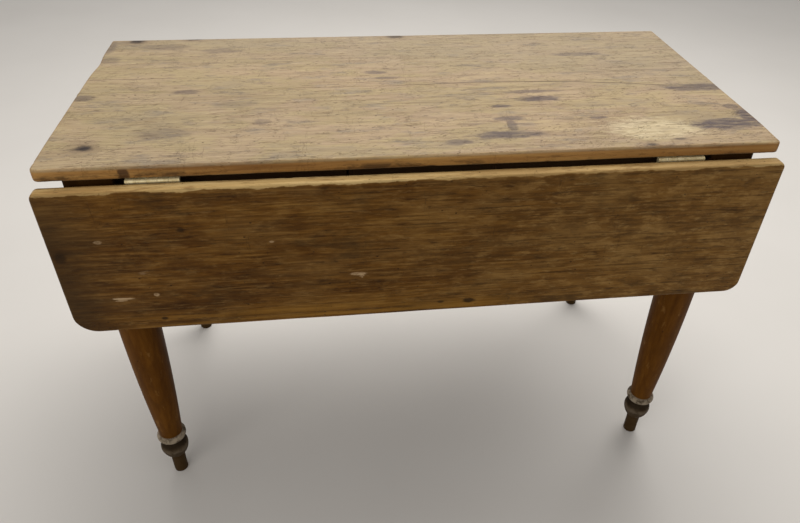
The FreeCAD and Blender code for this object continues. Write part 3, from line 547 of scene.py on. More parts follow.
def top_wood():
    """Scrubbed pale pine, blotched and scratched, with ink stains and golden worn edges."""
    graph = Graph("scrubbed_pine")
    paint, rise, fall = graph.paint, graph.rise, graph.fall
    x, y, z = graph.split(graph.place)
    shifted = graph.join(graph.scaled(graph.math("SIGN", y), 0.37, x),
                         graph.math("SUBTRACT", graph.math("ABSOLUTE", y), 0.12),
                         graph.math("ADD", z, -TOP_HEIGHT))
    rings, streaks, fibre, patches = grain(graph, shifted, 4.6 * MM, (0, -0.055), 0.035)
    hue = graph.noise(graph.place, (6, 15), 4, 0.62)
    base = graph.ramp(hue, (0.34, 0.3, 0.226, 0.13), (0.46, 0.35, 0.262, 0.134),
                      (0.56, 0.348, 0.248, 0.148), (0.68, 0.402, 0.296, 0.16))
    light = graph.total((patches, 0.45), (streaks, 0.55))
    shade = graph.ramp(light, (0.32, 0.66, 0.62, 0.56), (0.5, 1, 1, 1), (0.68, 1.14, 1.15, 1.16))
    graph.colour = graph.mix(1, base, shade, "MULTIPLY")
    paint(fall(x, -0.5, -0.1, 0.3), (0.335, 0.272, 0.158))
    back = graph.scaled(x, 0.25, y)
    paint(rise(back, -0.02, 0.22, 0.6), (0.285, 0.228, 0.148))
    paint(rings, (0.185, 0.105, 0.045), 0.16)
    smudges = graph.noise(shifted, (11, 34), 5, 0.7)
    paint(rise(smudges, 0.53, 0.66, 0.62), (0.205, 0.165, 0.122))
    flecks = graph.noise(shifted, (22, 170), 5, 0.7)
    paint(rise(flecks, 0.54, 0.68, 0.66), (0.165, 0.1, 0.047))
    pale = graph.noise(shifted, (26, 130), 4, 0.65, (2.3, 0.9, 0))
    paint(rise(pale, 0.58, 0.72, 0.45), (0.5, 0.385, 0.23))
    paint(rise(fibre, 0.52, 0.75, 0.28), (0.15, 0.088, 0.042))
    dirt = graph.noise(shifted, (18, 50), 6, 0.74, (5.2, 2.4, 0))
    paint(rise(dirt, 0.55, 0.64, 0.45), (0.15, 0.112, 0.078))
    rough = graph.noise(graph.place, (46, 105), 6, 0.7)
    bare = graph.spot(graph.place, BARE_PATCH, rough, 0.35)
    paint(bare, (0.57, 0.47, 0.29), graph.band(flecks, 0.4, 0.58, 0.8, 0.3))
    ink = graph.spots(graph.place, DARK_STAINS, rough, 0.34)
    paint(ink, (0.07, 0.048, 0.05), graph.band(flecks, 0.34, 0.56, 0.45, 1))
    for knot in TOP_KNOTS:
        halo = graph.spot(graph.place, knot, rough, 0.8, 1.9)
        paint(halo, (0.15, 0.095, 0.06), 0.55 * knot[4])
        paint(graph.spot(graph.place, knot, rough, 0.6), (0.022, 0.013, 0.011), knot[4])
    skew = graph.join(graph.scaled(y, 0.6, x), graph.scaled(x, -0.5, y), z)
    marks = graph.most(
        (hairlines(graph, graph.place, (11, 190), 0.012, 0.16), 0.6),
        (hairlines(graph, skew, (34, 120), 0.01, 0.1), 0.66),
        (hairlines(graph, graph.place, (95, 22), 0.008, 0.07), 0.5),
        (specks(graph, graph.place, (62, 230), 0.24, 0.36), 0.7),
        (specks(graph, skew, (70, 240), 0.16, 0.4), 0.65),
        (specks(graph, graph.place, (105, 150), 0.16, 0.24), 1),
        (crack_lines(graph, x, y, rough), 1))
    paint(marks, (0.08, 0.046, 0.024), 0.78)
    ragged = graph.scaled(rough, 0.014, graph.stored("arris"))
    gold = graph.ramp(streaks, (0.34, 0.205, 0.098, 0.026), (0.52, 0.33, 0.182, 0.058),
                      (0.68, 0.43, 0.265, 0.1))
    paint(fall(ragged, 5 * MM, 14 * MM), gold, 0.45)
    tan = graph.mix(rise(x, -0.2, 0.5), (1.08, 0.96, 0.7), (0.86, 0.71, 0.48))
    side_face = fall(z, TOP_HEIGHT - 6 * MM, TOP_HEIGHT - 1.6 * MM)
    paint(side_face, graph.mix(1, gold, tan, "MULTIPLY"), 0.92)
    # Dark blotches on the lower part of the board's edges, towards the underside.
    low_edge_blotches = rise(smudges, 0.46, 0.6, 0.8)
    paint(low_edge_blotches, (0.06, 0.028, 0.009), fall(z, UNDERSIDE + 6 * MM, UNDERSIDE + 13 * MM))
    face_on = graph.join(x, graph.times(z, EDGE_KNOT_STRETCH), 0)
    paint(graph.spot(face_on, EDGE_KNOT, rough, 0.3), (0.055, 0.022, 0.007),
          graph.times(side_face, 0.85))
    under = fall(z, UNDERSIDE + 0.6 * MM, UNDERSIDE + 3 * MM)
    paint(under, graph.mix(streaks, (0.075, 0.042, 0.018), (0.2, 0.125, 0.06)), 0.8)
    height = graph.total((streaks, 0.35), (fibre, 0.3), (flecks, 0.45), (rings, 0.2), (marks, -1.2))
    return graph.finish(graph.scaled(patches, 0.22, 0.46), height, 0.5 * MM,
                        Specular_IOR_Level=0.22)


def crack_lines(graph, x, y, rough):
    """A long crack by the seam between the boards and two that run in from the ends."""
    level = graph.math("ADD", y, graph.scaled(rough, 4 * MM, -2 * MM))
    bend = graph.times(x, graph.scaled(x, 0.309, -0.0762))
    seam = graph.fall(graph.math("ABSOLUTE", graph.math("ADD", level, bend)), 0.7 * MM, 2.4 * MM)
    stretch = graph.times(graph.rise(x, -0.08, 0.12, 0.9), graph.fall(x, 0.44, 0.52))
    left = graph.fall(graph.apart(level, 0.057), 0.5 * MM, 1.6 * MM)
    left = graph.times(left, graph.fall(x, -0.44, -0.39, 0.75))
    right = graph.fall(graph.apart(level, 0.044), 0.4 * MM, 1.4 * MM)
    right = graph.times(right, graph.rise(x, 0.38, 0.44, 0.6))
    ends = graph.math("MAXIMUM", left, right)
    return graph.math("MAXIMUM", graph.times(seam, stretch), ends)


def leaf_wood():
    """Dark stained pine, mottled and rubbed, with bare wood along the hinged edge."""
    graph = Graph("dark_pine")
    paint, rise, fall = graph.paint, graph.rise, graph.fall
    x, y, z = graph.split(graph.place)
    moved = graph.scaled(graph.math("SIGN", y), 0.31, x)
    from_middle = graph.math("ABSOLUTE", y)
    upright = graph.join(moved, z, from_middle)
    shifted = graph.vector("SUBTRACT", upright, (0, 0.585, 0.286))
    rings, streaks, fibre, patches = grain(graph, shifted, 5 * MM, (0, -0.06), 0.04)
    clouds = graph.noise(upright, (5, 13), 4, 0.6)
    flecks = graph.noise(upright, (24, 120), 5, 0.68)
    tone = graph.total((patches, 0.15), (streaks, 0.25), (clouds, 0.28), (flecks, 0.32))
    graph.colour = graph.ramp(tone, (0.4, 0.036, 0.012, 0.0014), (0.47, 0.08, 0.03, 0.0034),
                              (0.53, 0.124, 0.052, 0.0072), (0.61, 0.2, 0.098, 0.02))
    paint(rings, (0.036, 0.013, 0.002), 0.2)
    # Painted sheen: paler, hazier and more rubbed towards the right, where the light glances off
    # the leaf.
    sheen_to_right = rise(x, -0.15, 0.5)
    haze = graph.noise(upright, (8, 17), 4, 0.6, (1.3, 2.1, 0))
    paint(rise(haze, 0.42, 0.66), (0.196, 0.108, 0.032), graph.scaled(sheen_to_right, 0.42, 0.26))
    # Painted sheen: the leaf is lightened evenly towards the right.
    paint(sheen_to_right, (0.21, 0.108, 0.026), 0.36)
    rubbed = graph.noise(upright, (44, 170), 5, 0.7, (4.1, 0.7, 0))
    paint(rise(rubbed, 0.53, 0.7), (0.3, 0.18, 0.062), graph.scaled(sheen_to_right, 0.4, 0.3))
    mottle = graph.noise(upright, (26, 52), 5, 0.66, (6.2, 3.3, 0))
    spread = graph.scaled(sheen_to_right, 0.7, 0.3)
    paint(spread, (0.285, 0.16, 0.048), rise(mottle, 0.5, 0.66, 0.6))
    paint(spread, (0.062, 0.027, 0.005), fall(mottle, 0.34, 0.47, 0.6))
    lines = graph.noise(upright, (9, 260), 4, 0.62, (1.9, 8.3, 0))
    paint(rise(lines, 0.52, 0.66, 0.62), (0.052, 0.022, 0.004))
    paint(fall(lines, 0.34, 0.46, 0.36), (0.26, 0.145, 0.042))
    paint(fall(flecks, 0.3, 0.42, 0.55), (0.026, 0.0095, 0.0018))
    left_end = fall(graph.scaled(clouds, 0.12, x), -0.52, -0.4, 0.8)
    paint(left_end, (0.036, 0.018, 0.006))
    blots = graph.noise(upright, (9, 22), 5, 0.62, (2.7, 5.1, 0))
    paint(rise(blots, 0.56, 0.7, 0.6), (0.04, 0.019, 0.005))
    low_z, top_z = (corner[2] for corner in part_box("front_leaf"))
    golden = graph.times(fall(z, low_z + 8 * MM, low_z + 50 * MM, 0.75),
                         fall(graph.apart(x, -0.16), 0.2, 0.38))
    paint(golden, (0.24, 0.115, 0.018), rise(streaks, 0.38, 0.6))
    rough = graph.noise(upright, (60, 120), 6, 0.7)
    on_front = fall(y, -0.01, 0)
    flat = graph.join(x, z, 0)
    for knot in LEAF_KNOTS:
        mark = graph.times(graph.spot(flat, knot, rough, 0.4), knot[4])
        paint(mark, (0.014, 0.006, 0.002), on_front)
    torn = graph.total((flecks, 1.8), (rough, 0.7), (rise(streaks, 0.4, 0.6), 0.5), start=-0.4)
    chips = graph.spots(flat, LEAF_CHIPS, graph.math("ADD", torn, -0.38), 0.25)
    paint(graph.times(chips, on_front), (0.48, 0.335, 0.19), graph.band(rough, 0.38, 0.5, 0.35, 1))
    marks = graph.most(
        (hairlines(graph, upright, (12, 170), 0.012, 0.14), 0.5),
        (specks(graph, upright, (90, 120), 0.14, 0.22), 1),
        (hairlines(graph, upright, (120, 16), 0.007, 0.04), 0.6),
        (specks(graph, upright, (55, 200), 0.14, 0.34), 0.55))
    paint(marks, (0.02, 0.008, 0.002), 0.72)
    thin = fall(graph.scaled(rough, 0.012, graph.stored("arris")), 4.5 * MM, 9 * MM)
    raw = graph.ramp(streaks, (0.3, 0.3, 0.175, 0.06), (0.5, 0.46, 0.305, 0.12),
                     (0.68, 0.6, 0.435, 0.2))
    paint(thin, raw, 0.22)
    # The bare strip under the hinged edge: its ragged lower limit is a depth below the edge.
    scallops = graph.noise(graph.join(moved, 0, 0), (17, 1), 3, 0.55)
    limit = graph.math("ADD", graph.scaled(scallops, 17 * MM, -4.6 * MM), -3.5 * MM)
    limit = graph.math("MAXIMUM", graph.scaled(rough, 7 * MM, limit), 2 * MM)
    depth = graph.math("SUBTRACT", graph.math("SUBTRACT", top_z, z), limit)
    paint(fall(depth, -1 * MM, 4.5 * MM), (0.19, 0.09, 0.02), 0.5)
    bare = fall(depth, -0.8 * MM, 0.9 * MM)
    raw = graph.mix(rise(x, 0.2, 0.5, 0.4), raw, (0.27, 0.165, 0.065))
    raw = graph.mix(rise(flecks, 0.5, 0.66, 0.62), raw, (0.19, 0.1, 0.034))
    raw = graph.mix(rise(clouds, 0.46, 0.62, 0.45), raw, (0.27, 0.155, 0.055))
    raw = graph.mix(graph.times(marks, 0.7), raw, (0.06, 0.03, 0.012))
    paint(bare, raw, 0.95)
    inner_y = abs(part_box("rear_leaf")[0][1])
    inner = fall(from_middle, inner_y + 0.5 * MM, inner_y + 2 * MM)
    paint(inner, graph.mix(streaks, (0.07, 0.038, 0.015), (0.23, 0.14, 0.065)), 0.85)
    height = graph.total((streaks, 0.4), (fibre, 0.3), (flecks, 0.55), (rings, 0.2),
                         (marks, -1), (bare, -0.6))
    return graph.finish(graph.scaled(patches, 0.24, 0.42), height, 0.5 * MM,
                        Specular_IOR_Level=0.14, Specular_Tint=LEAF_TINT)


def leg_wood():
    """Reddish dark turned pine, greyed on the ring and almost black on the foot."""
    graph = Graph("turned_pine")
    paint, rise, fall = graph.paint, graph.rise, graph.fall
    x, y, z = graph.split(graph.place)
    off_x = graph.math("SUBTRACT", graph.math("ABSOLUTE", x), LEG_X)
    off_y = graph.math("SUBTRACT", graph.math("ABSOLUTE", y), LEG_Y)
    lift = graph.scaled(graph.math("SIGN", y), 3, graph.math("SIGN", x))
    upright = graph.join(graph.scaled(lift, 1.7, z), off_x, off_y)
    rings, streaks, fibre, patches = grain(graph, upright, 4.5 * MM, (0.012, -0.045), 0, 0.008)
    flecks = graph.noise(upright, (30, 130), 5, 0.68)
    tone = graph.total((patches, 0.45), (streaks, 0.3), (flecks, 0.25))
    graph.colour = graph.ramp(tone, (0.36, 0.048, 0.0152, 0.001), (0.48, 0.084, 0.029, 0.002),
                              (0.58, 0.12, 0.045, 0.0042), (0.7, 0.18, 0.08, 0.013))
    paint(rings, (0.04, 0.0125, 0.0015), 0.22)
    rubbed = graph.noise(upright, (26, 60), 5, 0.7)
    paint(rise(rubbed, 0.58, 0.72, 0.4), (0.26, 0.135, 0.04))
    rough = graph.noise(graph.place, (75,), 6, 0.68)
    level = graph.scaled(rough, 5 * MM, graph.math("ADD", z, -2.5 * MM))
    foot = fall(level, 0.1165, 0.1195)
    grey = graph.ramp(rough, (0.36, 0.026, 0.017, 0.009), (0.5, 0.048, 0.034, 0.02),
                      (0.64, 0.08, 0.06, 0.038))
    paint(foot, grey, 0.94)
    paint(graph.stripe(level, *WAIST), (0.018, 0.011, 0.006), 0.8)
    paint(graph.stripe(level, *CROWN), (0.112, 0.085, 0.058),
          graph.band(rough, 0.36, 0.58, 0.25, 0.75))
    paint(fall(level, 0.06, 0.071), (0.042, 0.021, 0.005), 0.8)
    paint(graph.stripe(level, *RING), (0.3, 0.245, 0.178), graph.band(rough, 0.38, 0.6, 0.12, 0.95))
    # Painted shade: the top of the leg's head is darkened where it stands just under the table top.
    paint(rise(z, 0.66, 0.7), (0.014, 0.006, 0.002), 0.75)
    marks = graph.most((specks(graph, graph.place, (90, 90, 60), 0.16, 0.22), 1),
                       (hairlines(graph, upright, (90, 30), 0.008, 0.05), 0.6))
    paint(marks, (0.018, 0.008, 0.003), 0.65)
    height = graph.total((streaks, 0.4), (fibre, 0.25), (rough, 0.6), (marks, -0.8))
    gloss = graph.total((patches, 0.24), (foot, 0.06), start=0.46)
    return graph.finish(gloss, height, 0.4 * MM, Specular_IOR_Level=0.08, Specular_Tint=LEG_TINT)


def raw_wood(name, along_y=False, tint=(1, 1, 1)):
    """Unfinished aged pine of the hidden frame."""
    graph = Graph(name)
    x, y, z = graph.split(graph.place)
    vector = graph.join(y, x, z) if along_y else graph.join(x, y, z)
    shifted = graph.vector("SUBTRACT", vector, (0, 0.2, 0.66))
    rings, streaks, fibre, patches = grain(graph, shifted, 4.4 * MM, (0.02, -0.05), 0.03)
    stops = []
    for level, *shade in ((0.3, 0.05, 0.025, 0.009), (0.5, 0.11, 0.06, 0.024),
                          (0.72, 0.19, 0.115, 0.052)):
        stops.append((level, *(part * share for part, share in zip(shade, tint))))
    graph.colour = graph.ramp(graph.total((patches, 0.5), (streaks, 0.5)), *stops)
    graph.paint(rings, (0.06, 0.028, 0.01), 0.4)
    graph.paint(specks(graph, graph.place, (70,), 0.14, 0.22), (0.02, 0.01, 0.004), 0.6)
    return graph.finish(graph.scaled(patches, 0.2, 0.55),
                        graph.total((streaks, 0.6), (fibre, 0.4)), 0.4 * MM,
                        Specular_IOR_Level=0.15)


def aged_metal(name, dark, light, roughness, tarnish, metallic=0.85):
    """Old cast or rolled metal with darker blotches, fine pitting and worn brighter areas."""
    graph = Graph(name)
    blotch = graph.noise(graph.place, (110,), 5, 0.62)
    pits = graph.noise(graph.place, (700,), 3, 0.6)
    graph.colour = graph.mix(graph.rise(blotch, 0.36, 0.64), dark, light)
    graph.paint(graph.rise(pits, 0.6, 0.72, 0.7), tarnish)
    return graph.finish(graph.scaled(blotch, -0.18, roughness + 0.09),
                        graph.total((blotch, 0.5), (pits, 0.5)), 0.12 * MM, Metallic=metallic)


# ---- pieces ----

TENON = 25 * MM
HINGED_ARRIS = 2.8 * MM
SEAM_ARRIS = 0.3 * MM
FAR_CORNERS = (36 * MM, 25 * MM)
LEG_SIDES = 96
HEAD_BOTTOM = 590 * MM
HEAD_HALF = 35 * MM
NECK_RADIUS = 34.4 * MM
SCREW_PITCH = 26 * MM
SCREW_SETBACK = 18 * MM
PLATE_FACE = 2 * MM
BLOCK_HALF_LENGTH = 30 * MM


def hollow_end(placed, middle_y, half_width, depth):
    """Pull the left end of a board in where years of use have worn it hollow."""
    from_end = placed[:, 0] - placed[:, 0].min()
    along = np.exp(-((placed[:, 1] - middle_y) / half_width) ** 2)
    placed[:, 0] += depth * along * np.clip(1 - from_end / (12 * depth), 0, 1)


def drop_corner(placed, corner, reach, depth):
    """Wear the upper face down towards one corner of a board."""
    away = np.hypot(placed[:, 0] - corner[0], placed[:, 1] - corner[1])
    low, high = placed[:, 2].min(), placed[:, 2].max()
    placed[:, 2] -= depth * np.exp(-(away / reach) ** 2) * (placed[:, 2] - low) / (high - low)


def build_top_board(side, material):
    """One worn board of the top; its near edge is the seam in the middle."""
    node = f"top_board_{side}"
    low, high = corners(node)
    sign = SIDES[side]
    corner = (12 if side == "front" else 6) * MM
    slab = Slab(*(high - low), 3.4 * MM, SEAM_ARRIS, SEAM_ARRIS, (corner, corner),
                under=1.2 * MM)
    piece = slab.build(f"{node}_worn", (X_AXIS, (0, sign, 0), Z_AXIS), (0, 0, low.z))
    placed = vertex_array(piece)
    if side == "rear":
        hollow_end(placed, 0.135, 0.034, 4 * MM)
    else:
        drop_corner(placed, (high.x, low.y), 0.045, 2.6 * MM)
        drop_corner(placed, (low.x, low.y), 0.030, 1.2 * MM)
    move_to(piece, placed)
    seed = 11 if side == "front" else 47
    depth = worn_depth(slab, placed, seed, 1.0, 0.35 * MM)
    depth += dents(placed, 130, seed, (low.x, low.y, high.z), (high.x, high.y, high.z))
    from_seam = np.abs(placed[:, 1])
    sink(piece, depth * np.clip(from_seam / (6 * MM), 0, 1))
    store_arris(piece, np.where(from_seam < 30 * MM, high.x - np.abs(placed[:, 0]),
                                slab.edge_distance()))
    return finish_piece(piece, material, "frame", node)


def build_leaf(side, material):
    """A hanging leaf; its near edge is the hinged one and its far corners are rounded."""
    node = f"{side}_leaf"
    low, high = corners(node)
    sign = SIDES[side]
    size = high - low
    inner_y = max(abs(low.y), abs(high.y)) - (high.y - low.y)
    slab = Slab(size.x, size.z, size.y, HINGED_ARRIS, near_corner=10 * MM,
                far_corners=FAR_CORNERS, under=1.0 * MM)
    piece = slab.build(f"{node}_worn", (X_AXIS, (0, 0, -1), (0, sign, 0)),
                       (0, sign * inner_y, high.z))
    placed = vertex_array(piece)
    seed = 23 if side == "front" else 71
    outer_y = sign * (inner_y + high.y - low.y)
    depth = worn_depth(slab, placed, seed, 1.2, 0.35 * MM)
    depth += dents(placed, 90, seed, (low.x, outer_y, low.z), (high.x, outer_y, high.z))
    sink(piece, depth)
    store_arris(piece, slab.edge_distance())
    return finish_piece(piece, material, node, node)


def arc(start, through, end, count):
    """Points on the circle through three (radius, height) points, after the first."""
    (ax, ay), (bx, by), (cx, cy) = start, through, end
    d = 2 * (ax * (by - cy) + bx * (cy - ay) + cx * (ay - by))
    a2, b2, c2 = ax * ax + ay * ay, bx * bx + by * by, cx * cx + cy * cy
    ox = (a2 * (by - cy) + b2 * (cy - ay) + c2 * (ay - by)) / d
    oy = (a2 * (cx - bx) + b2 * (ax - cx) + c2 * (bx - ax)) / d
    radius = math.hypot(ax - ox, ay - oy)
    first = math.atan2(ay - oy, ax - ox)
    turn = math.atan2(cy - oy, cx - ox) - first
    turn = (turn + math.pi) % (2 * math.pi) - math.pi
    angles = [first + turn * index / count for index in range(1, count + 1)]
    return [(ox + radius * math.cos(angle), oy + radius * math.sin(angle)) for angle in angles]


def line(start, end, count):
    """Evenly spaced points from start to end, after the first."""
    start, end = Vector(start), Vector(end)
    return [tuple(start.lerp(end, index / count)) for index in range(1, count + 1)]


# The turning from the foot up to the square head, after its first two points: a (radius,
# height) point in millimetres that each arc passes through or None for a straight run, the
# point where it ends, and how many pieces it has.
LEG_START = [(12.6, 0.0), (13.6, 0.8)]
LEG_RUNS = (
    (None, (13.9, 48.0), 14),
    ((14.3, 49.4), (16.0, 50.4), 3),
    ((22.9, 61.0), (26.9, 76.0), 14),
    ((25.1, 86.0), (20.4, 92.4), 12),
    ((19.7, 93.6), (19.6, 95.0), 3),
    (None, (19.6, 100.5), 3),
    ((20.6, 102.2), (24.0, 102.5), 3),
    ((27.9, 109.0), (24.8, 116.6), 14),
    ((24.2, 117.4), (23.2, 117.7), 3),
    ((22.2, 118.0), (21.9, 119.2), 3),
    ((30.6, 265.0), (35.0, 430.0), 80),
    ((34.7, 500.0), (33.6, 560.5), 34),
    ((32.6, 563.0), (29.8, 565.0), 4),
    (None, (29.5, 567.0), 1),
    ((33.9, 574.0), (29.5, 581.0), 12),
    (None, (34.2, 585.6), 2),
    (None, (34.4, 590.0), 2),
)


def leg_profile():
    """(radius, height) of the turning in millimetres, from the foot up to the square head."""
    path = list(LEG_START)
    for through, end, count in LEG_RUNS:
        path += arc(path[-1], through, end, count) if through else line(path[-1], end, count)
    return path


def head_radius(angle, height):
    """Reach of the square head in a direction, with turned shoulders under its corners."""
    flat = HEAD_HALF / max(abs(math.cos(angle)), abs(math.sin(angle)))
    flat = min(flat, HEAD_HALF * 1.385)
    return min(flat, NECK_RADIUS + (height - HEAD_BOTTOM) * 1.25)


def build_leg(side, hand, material):
    """A turned leg with a square head: sections stacked from the foot to the underside."""
    node = f"{side}_{hand}_leg"
    top = corners(node)[1].z - 0.4 * MM
    centre = Vector((HANDS[hand] * LEG_X, SIDES[side] * LEG_Y))
    angles = [2 * math.pi * (index + 0.5) / LEG_SIDES for index in range(LEG_SIDES)]
    sections = [(height * MM, [radius * MM] * LEG_SIDES) for radius, height in leg_profile()]
    heights = [HEAD_BOTTOM + rise * MM for rise in (0.4, 2, 4, 7, 11)]
    shoulder = heights[-1]
    heights += [shoulder + (top - shoulder) * index / 24 for index in range(1, 25)]
    for height in heights:
        sections.append((height, [head_radius(angle, height) for angle in angles]))
    points = []
    for height, reaches in sections:
        for angle, reach in zip(angles, reaches):
            points.append((centre.x + reach * math.cos(angle),
                           centre.y + reach * math.sin(angle), height))
    faces = [tuple(range(LEG_SIDES))[::-1]] + grid_faces(len(sections), LEG_SIDES)
    faces.append(tuple(range(len(points) - LEG_SIDES, len(points))))
    piece = new_object(f"{node}_turned", points, faces)
    placed = vertex_array(piece)
    seed = 3 + 2 * (SIDES[side] + 1) + (HANDS[hand] + 1) // 2
    depth = 0.30 * MM * (1 + noise(placed, (0.05, 0.05, 0.18), seed)) / 2
    foot = np.clip((130 * MM - placed[:, 2]) / (40 * MM), 0, 1)
    chips = np.clip(noise(placed, (0.016, 0.016, 0.010), seed + 20) - 0.25, 0, 1)
    depth += foot * (0.5 * MM * (1 + noise(placed, 0.02, seed + 30, 2)) / 2 + 2.6 * MM * chips)
    keep = (placed[:, 2] > 0.5 * MM) & (placed[:, 2] < top - 0.5 * MM)
    sink(piece, depth * keep)
    return finish_piece(piece, material, "frame", node)


def build_rail(node, across, material):
    """A worn rail between two legs; its tenons are hidden in the legs."""
    low, high = corners(node)
    size = high - low
    along, thick = (size.y, size.x) if across else (size.x, size.y)
    slab = Slab(along - 2 * TENON, size.z, thick, 1.2 * MM, step=5 * MM)
    if across:
        axes, origin = (Y_AXIS, Z_AXIS, X_AXIS), (low.x, 0, low.z)
    else:
        axes, origin = (X_AXIS, Z_AXIS, Y_AXIS), (0, low.y, low.z)
    piece = slab.build(f"{node}_worn", axes, origin)
    sink(piece, worn_depth(slab, vertex_array(piece), 5 + len(node), 0.5, 0.3 * MM))
    return finish_piece(piece, material, "frame", node)


def screw_head(centre, outward, angle):
    """Points and faces of a countersunk head with a slot, closed by the cone under it."""
    radius, slot, slot_depth = 3.9 * MM, 0.5 * MM, 0.8 * MM
    outward = Vector(outward)
    first = outward.orthogonal().normalized()
    first.rotate(Quaternion(outward, angle))
    second = outward.cross(first)
    sides = [radius * share for share in (0.98, 0.8, 0.55, 0.3)]
    rows = [-side for side in sides] + [-slot * 1.1, -slot, slot, slot * 1.1] + sides[::-1]
    columns = 12
    points = []
    for row in rows:
        reach = math.sqrt(radius ** 2 - row ** 2)
        depth = slot_depth if abs(row) <= slot else 0.0
        for column in range(columns + 1):
            along = reach * (2 * column / columns - 1)
            points.append(centre + first * along + second * row - outward * depth)
    width = columns + 1
    last = len(points) - width
    faces = grid_faces(len(rows), width, closed=False)
    rim = list(range(width))
    rim += [row + columns for row in range(width, last + 1, width)]
    rim += [last + column for column in range(columns - 1, -1, -1)]
    rim += list(range(last - width, 0, -width))
    tip = len(points)
    points.append(centre - outward * radius)
    for corner, following in zip(rim, rim[1:] + rim[:1]):
        faces.append((following, corner, tip))
    return points, faces


def build_screws(node, places, outward, body, material):
    """Every slotted head of one group of screws."""
    rng = np.random.default_rng(len(node))
    points, faces = [], []
    for place in places:
        head_points, head_faces = screw_head(Vector(place), outward, rng.uniform(0, math.pi))
        start = len(points)
        points += head_points
        faces += [tuple(start + corner for corner in face) for face in head_faces]
    piece = new_object(f"{node}_slotted", points, faces, smooth=False)
    return finish_piece(piece, material, body, node)


def build_all_screws(material):
    """The screws of the hinges and of the glue blocks."""
    down = (0, 0, -1)
    for side, sign in SIDES.items():
        under_top, in_leaf = [], []
        for hand in HANDS:
            low, high = corners(f"{side}_{hand}_hinge_pin")
            pin = (low + high) / 2
            for step in (-1, 0, 1):
                x = pin.x + step * SCREW_PITCH
                under_top.append((x, pin.y - sign * SCREW_SETBACK, pin.z + PLATE_FACE))
                in_leaf.append((x, pin.y + sign * PLATE_FACE, pin.z - SCREW_SETBACK))
        build_screws(f"{side}_top_hinge_screws", under_top, down, "frame", material)
        build_screws(f"{side}_leaf_hinge_screws", in_leaf, (0, -sign, 0), f"{side}_leaf", material)
    low, high = corners("glue_blocks")
    half = (high.z - low.z) / 2
    centres = [(low.x + high.x) / 2, low.x + BLOCK_HALF_LENGTH, high.x - BLOCK_HALF_LENGTH]
    places = [(x, y, low.z) for x in centres for y in (low.y + half, high.y - half)]
    build_screws("top_screws", places, down, "frame", material)


# ---- camera, light and floor ----

def make_camera():
    """The camera stands in front, above the top, and looks down at the table."""
    yaw, pitch, roll = 0.1408, 0.6454, 0.0298
    place = (-0.1422, -1.1395, 1.2214)
    ahead = Vector((math.sin(yaw) * math.cos(pitch), math.cos(yaw) * math.cos(pitch),
                    -math.sin(pitch)))
    level = Vector((math.cos(yaw), -math.sin(yaw), 0))
    over = level.cross(ahead)
    right = math.cos(roll) * level + math.sin(roll) * over
    up = -math.sin(roll) * level + math.cos(roll) * over
    data = bpy.data.cameras.new("camera")
    data.sensor_width = 36
    data.lens = 30.47
    data.shift_x = -0.0178
    data.shift_y = -0.0071
    data.clip_start = 0.05
    camera = add_object("camera", data)
    rotation = Matrix((right, up, -ahead)).transposed()
    camera.matrix_world = Matrix.Translation(place) @ rotation.to_4x4()
    bpy.context.scene.camera = camera


def area_light(name, place, target, size, power, colour):
    """A soft rectangular light aimed at a point."""
    data = bpy.data.lights.new(name, "AREA")
    data.shape = "RECTANGLE"
    data.size, data.size_y = size
    data.energy = power
    data.color = colour
    lamp = add_object(name, data)
    lamp.location = place
    lamp.rotation_mode = "QUATERNION"
    lamp.rotation_quaternion = (Vector(target) - Vector(place)).to_track_quat("-Z", "Y")


def make_lights():
    """Soft overhead light from behind, a weak fill from the front and an even sky."""
    area_light("overhead", (0.5, 1.3, 2.9), (0, 0, 0.6), (3.0, 2.2), 95, (1.0, 0.98, 0.95))
    area_light("fill", (-1.8, -2.4, 1.9), (0, 0, 0.5), (2.4, 2.0), 26, (1.0, 0.97, 0.93))
    world = bpy.data.worlds.new("studio")
    world.use_nodes = True
    background = world.node_tree.nodes["Background"]
    background.inputs["Color"].default_value = (1.0, 0.98, 0.96, 1)
    background.inputs["Strength"].default_value = 0.45
    bpy.context.scene.world = world
    bpy.context.scene.view_settings.view_transform = "Standard"


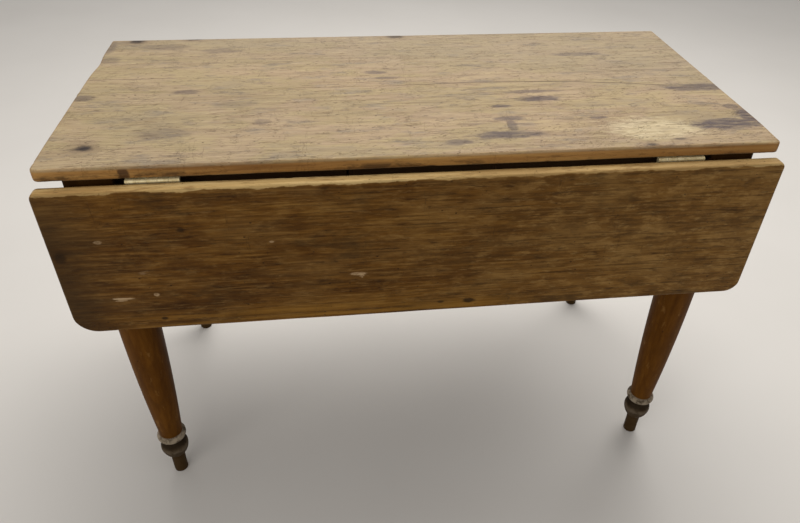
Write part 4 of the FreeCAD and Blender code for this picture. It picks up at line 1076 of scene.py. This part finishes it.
def make_floor():
    """A plain pale floor."""
    half = 12.0
    floor = new_object("floor", [(-half, -half, 0), (half, -half, 0), (half, half, 0),
                                 (-half, half, 0)], [(0, 1, 2, 3)], smooth=False)
    graph = Graph("pale_floor")
    tone = graph.noise(graph.place, (2,), 3.0)
    graph.colour = graph.mix(tone, (0.60, 0.575, 0.54), (0.66, 0.635, 0.60))
    floor.data.materials.append(graph.finish(0.7))


# ---- the table ----

def dress_kept_nodes(end_grain):
    """Materials of every CAD node that no worn piece stands for."""
    brass = aged_metal("hinge_brass", (0.60, 0.49, 0.26), (0.80, 0.70, 0.44), 0.50,
                       (0.26, 0.19, 0.09), 0.6)
    iron = aged_metal("iron_pin", (0.035, 0.030, 0.027), (0.13, 0.115, 0.10), 0.55,
                      (0.07, 0.030, 0.014))
    for name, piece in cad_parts.items():
        if piece.hide_render:
            continue
        if name.endswith(("_plate", "_hinge_pin")):
            material = brass
        elif name.endswith("_pin"):
            material = iron
        elif name == "tenon_pegs":
            material = end_grain
        else:
            shaded = "outer_rail" in name or "fly_bracket" in name
            tint = (0.45, 0.42, 0.40) if shaded else (1, 1, 1)
            material = raw_wood(f"{name}_pine", tint=tint)
        for slot in piece.material_slots:
            slot.material = material
        if not piece.material_slots:
            piece.data.materials.append(material)


def build_table():
    """Every worn piece of wood, the screws, and the materials of the rest."""
    pine = top_wood()
    dark = leaf_wood()
    turned = leg_wood()
    steel = aged_metal("screw_steel", (0.16, 0.13, 0.095), (0.42, 0.38, 0.31), 0.45,
                       (0.06, 0.038, 0.024))
    for side in SIDES:
        build_top_board(side, pine)
        build_leaf(side, dark)
        build_rail(f"{side}_inner_rail", False, raw_wood(f"{side}_inner_rail_pine"))
        for hand in HANDS:
            build_leg(side, hand, turned)
    across = raw_wood("end_rail_pine", along_y=True, tint=(0.95, 0.72, 0.45))
    for hand in HANDS:
        build_rail(f"{hand}_end_rail", True, across)
    build_all_screws(steel)
    dress_kept_nodes(raw_wood("peg_wood", tint=(0.6, 0.5, 0.5)))


make_camera()
make_lights()
make_floor()
build_table()
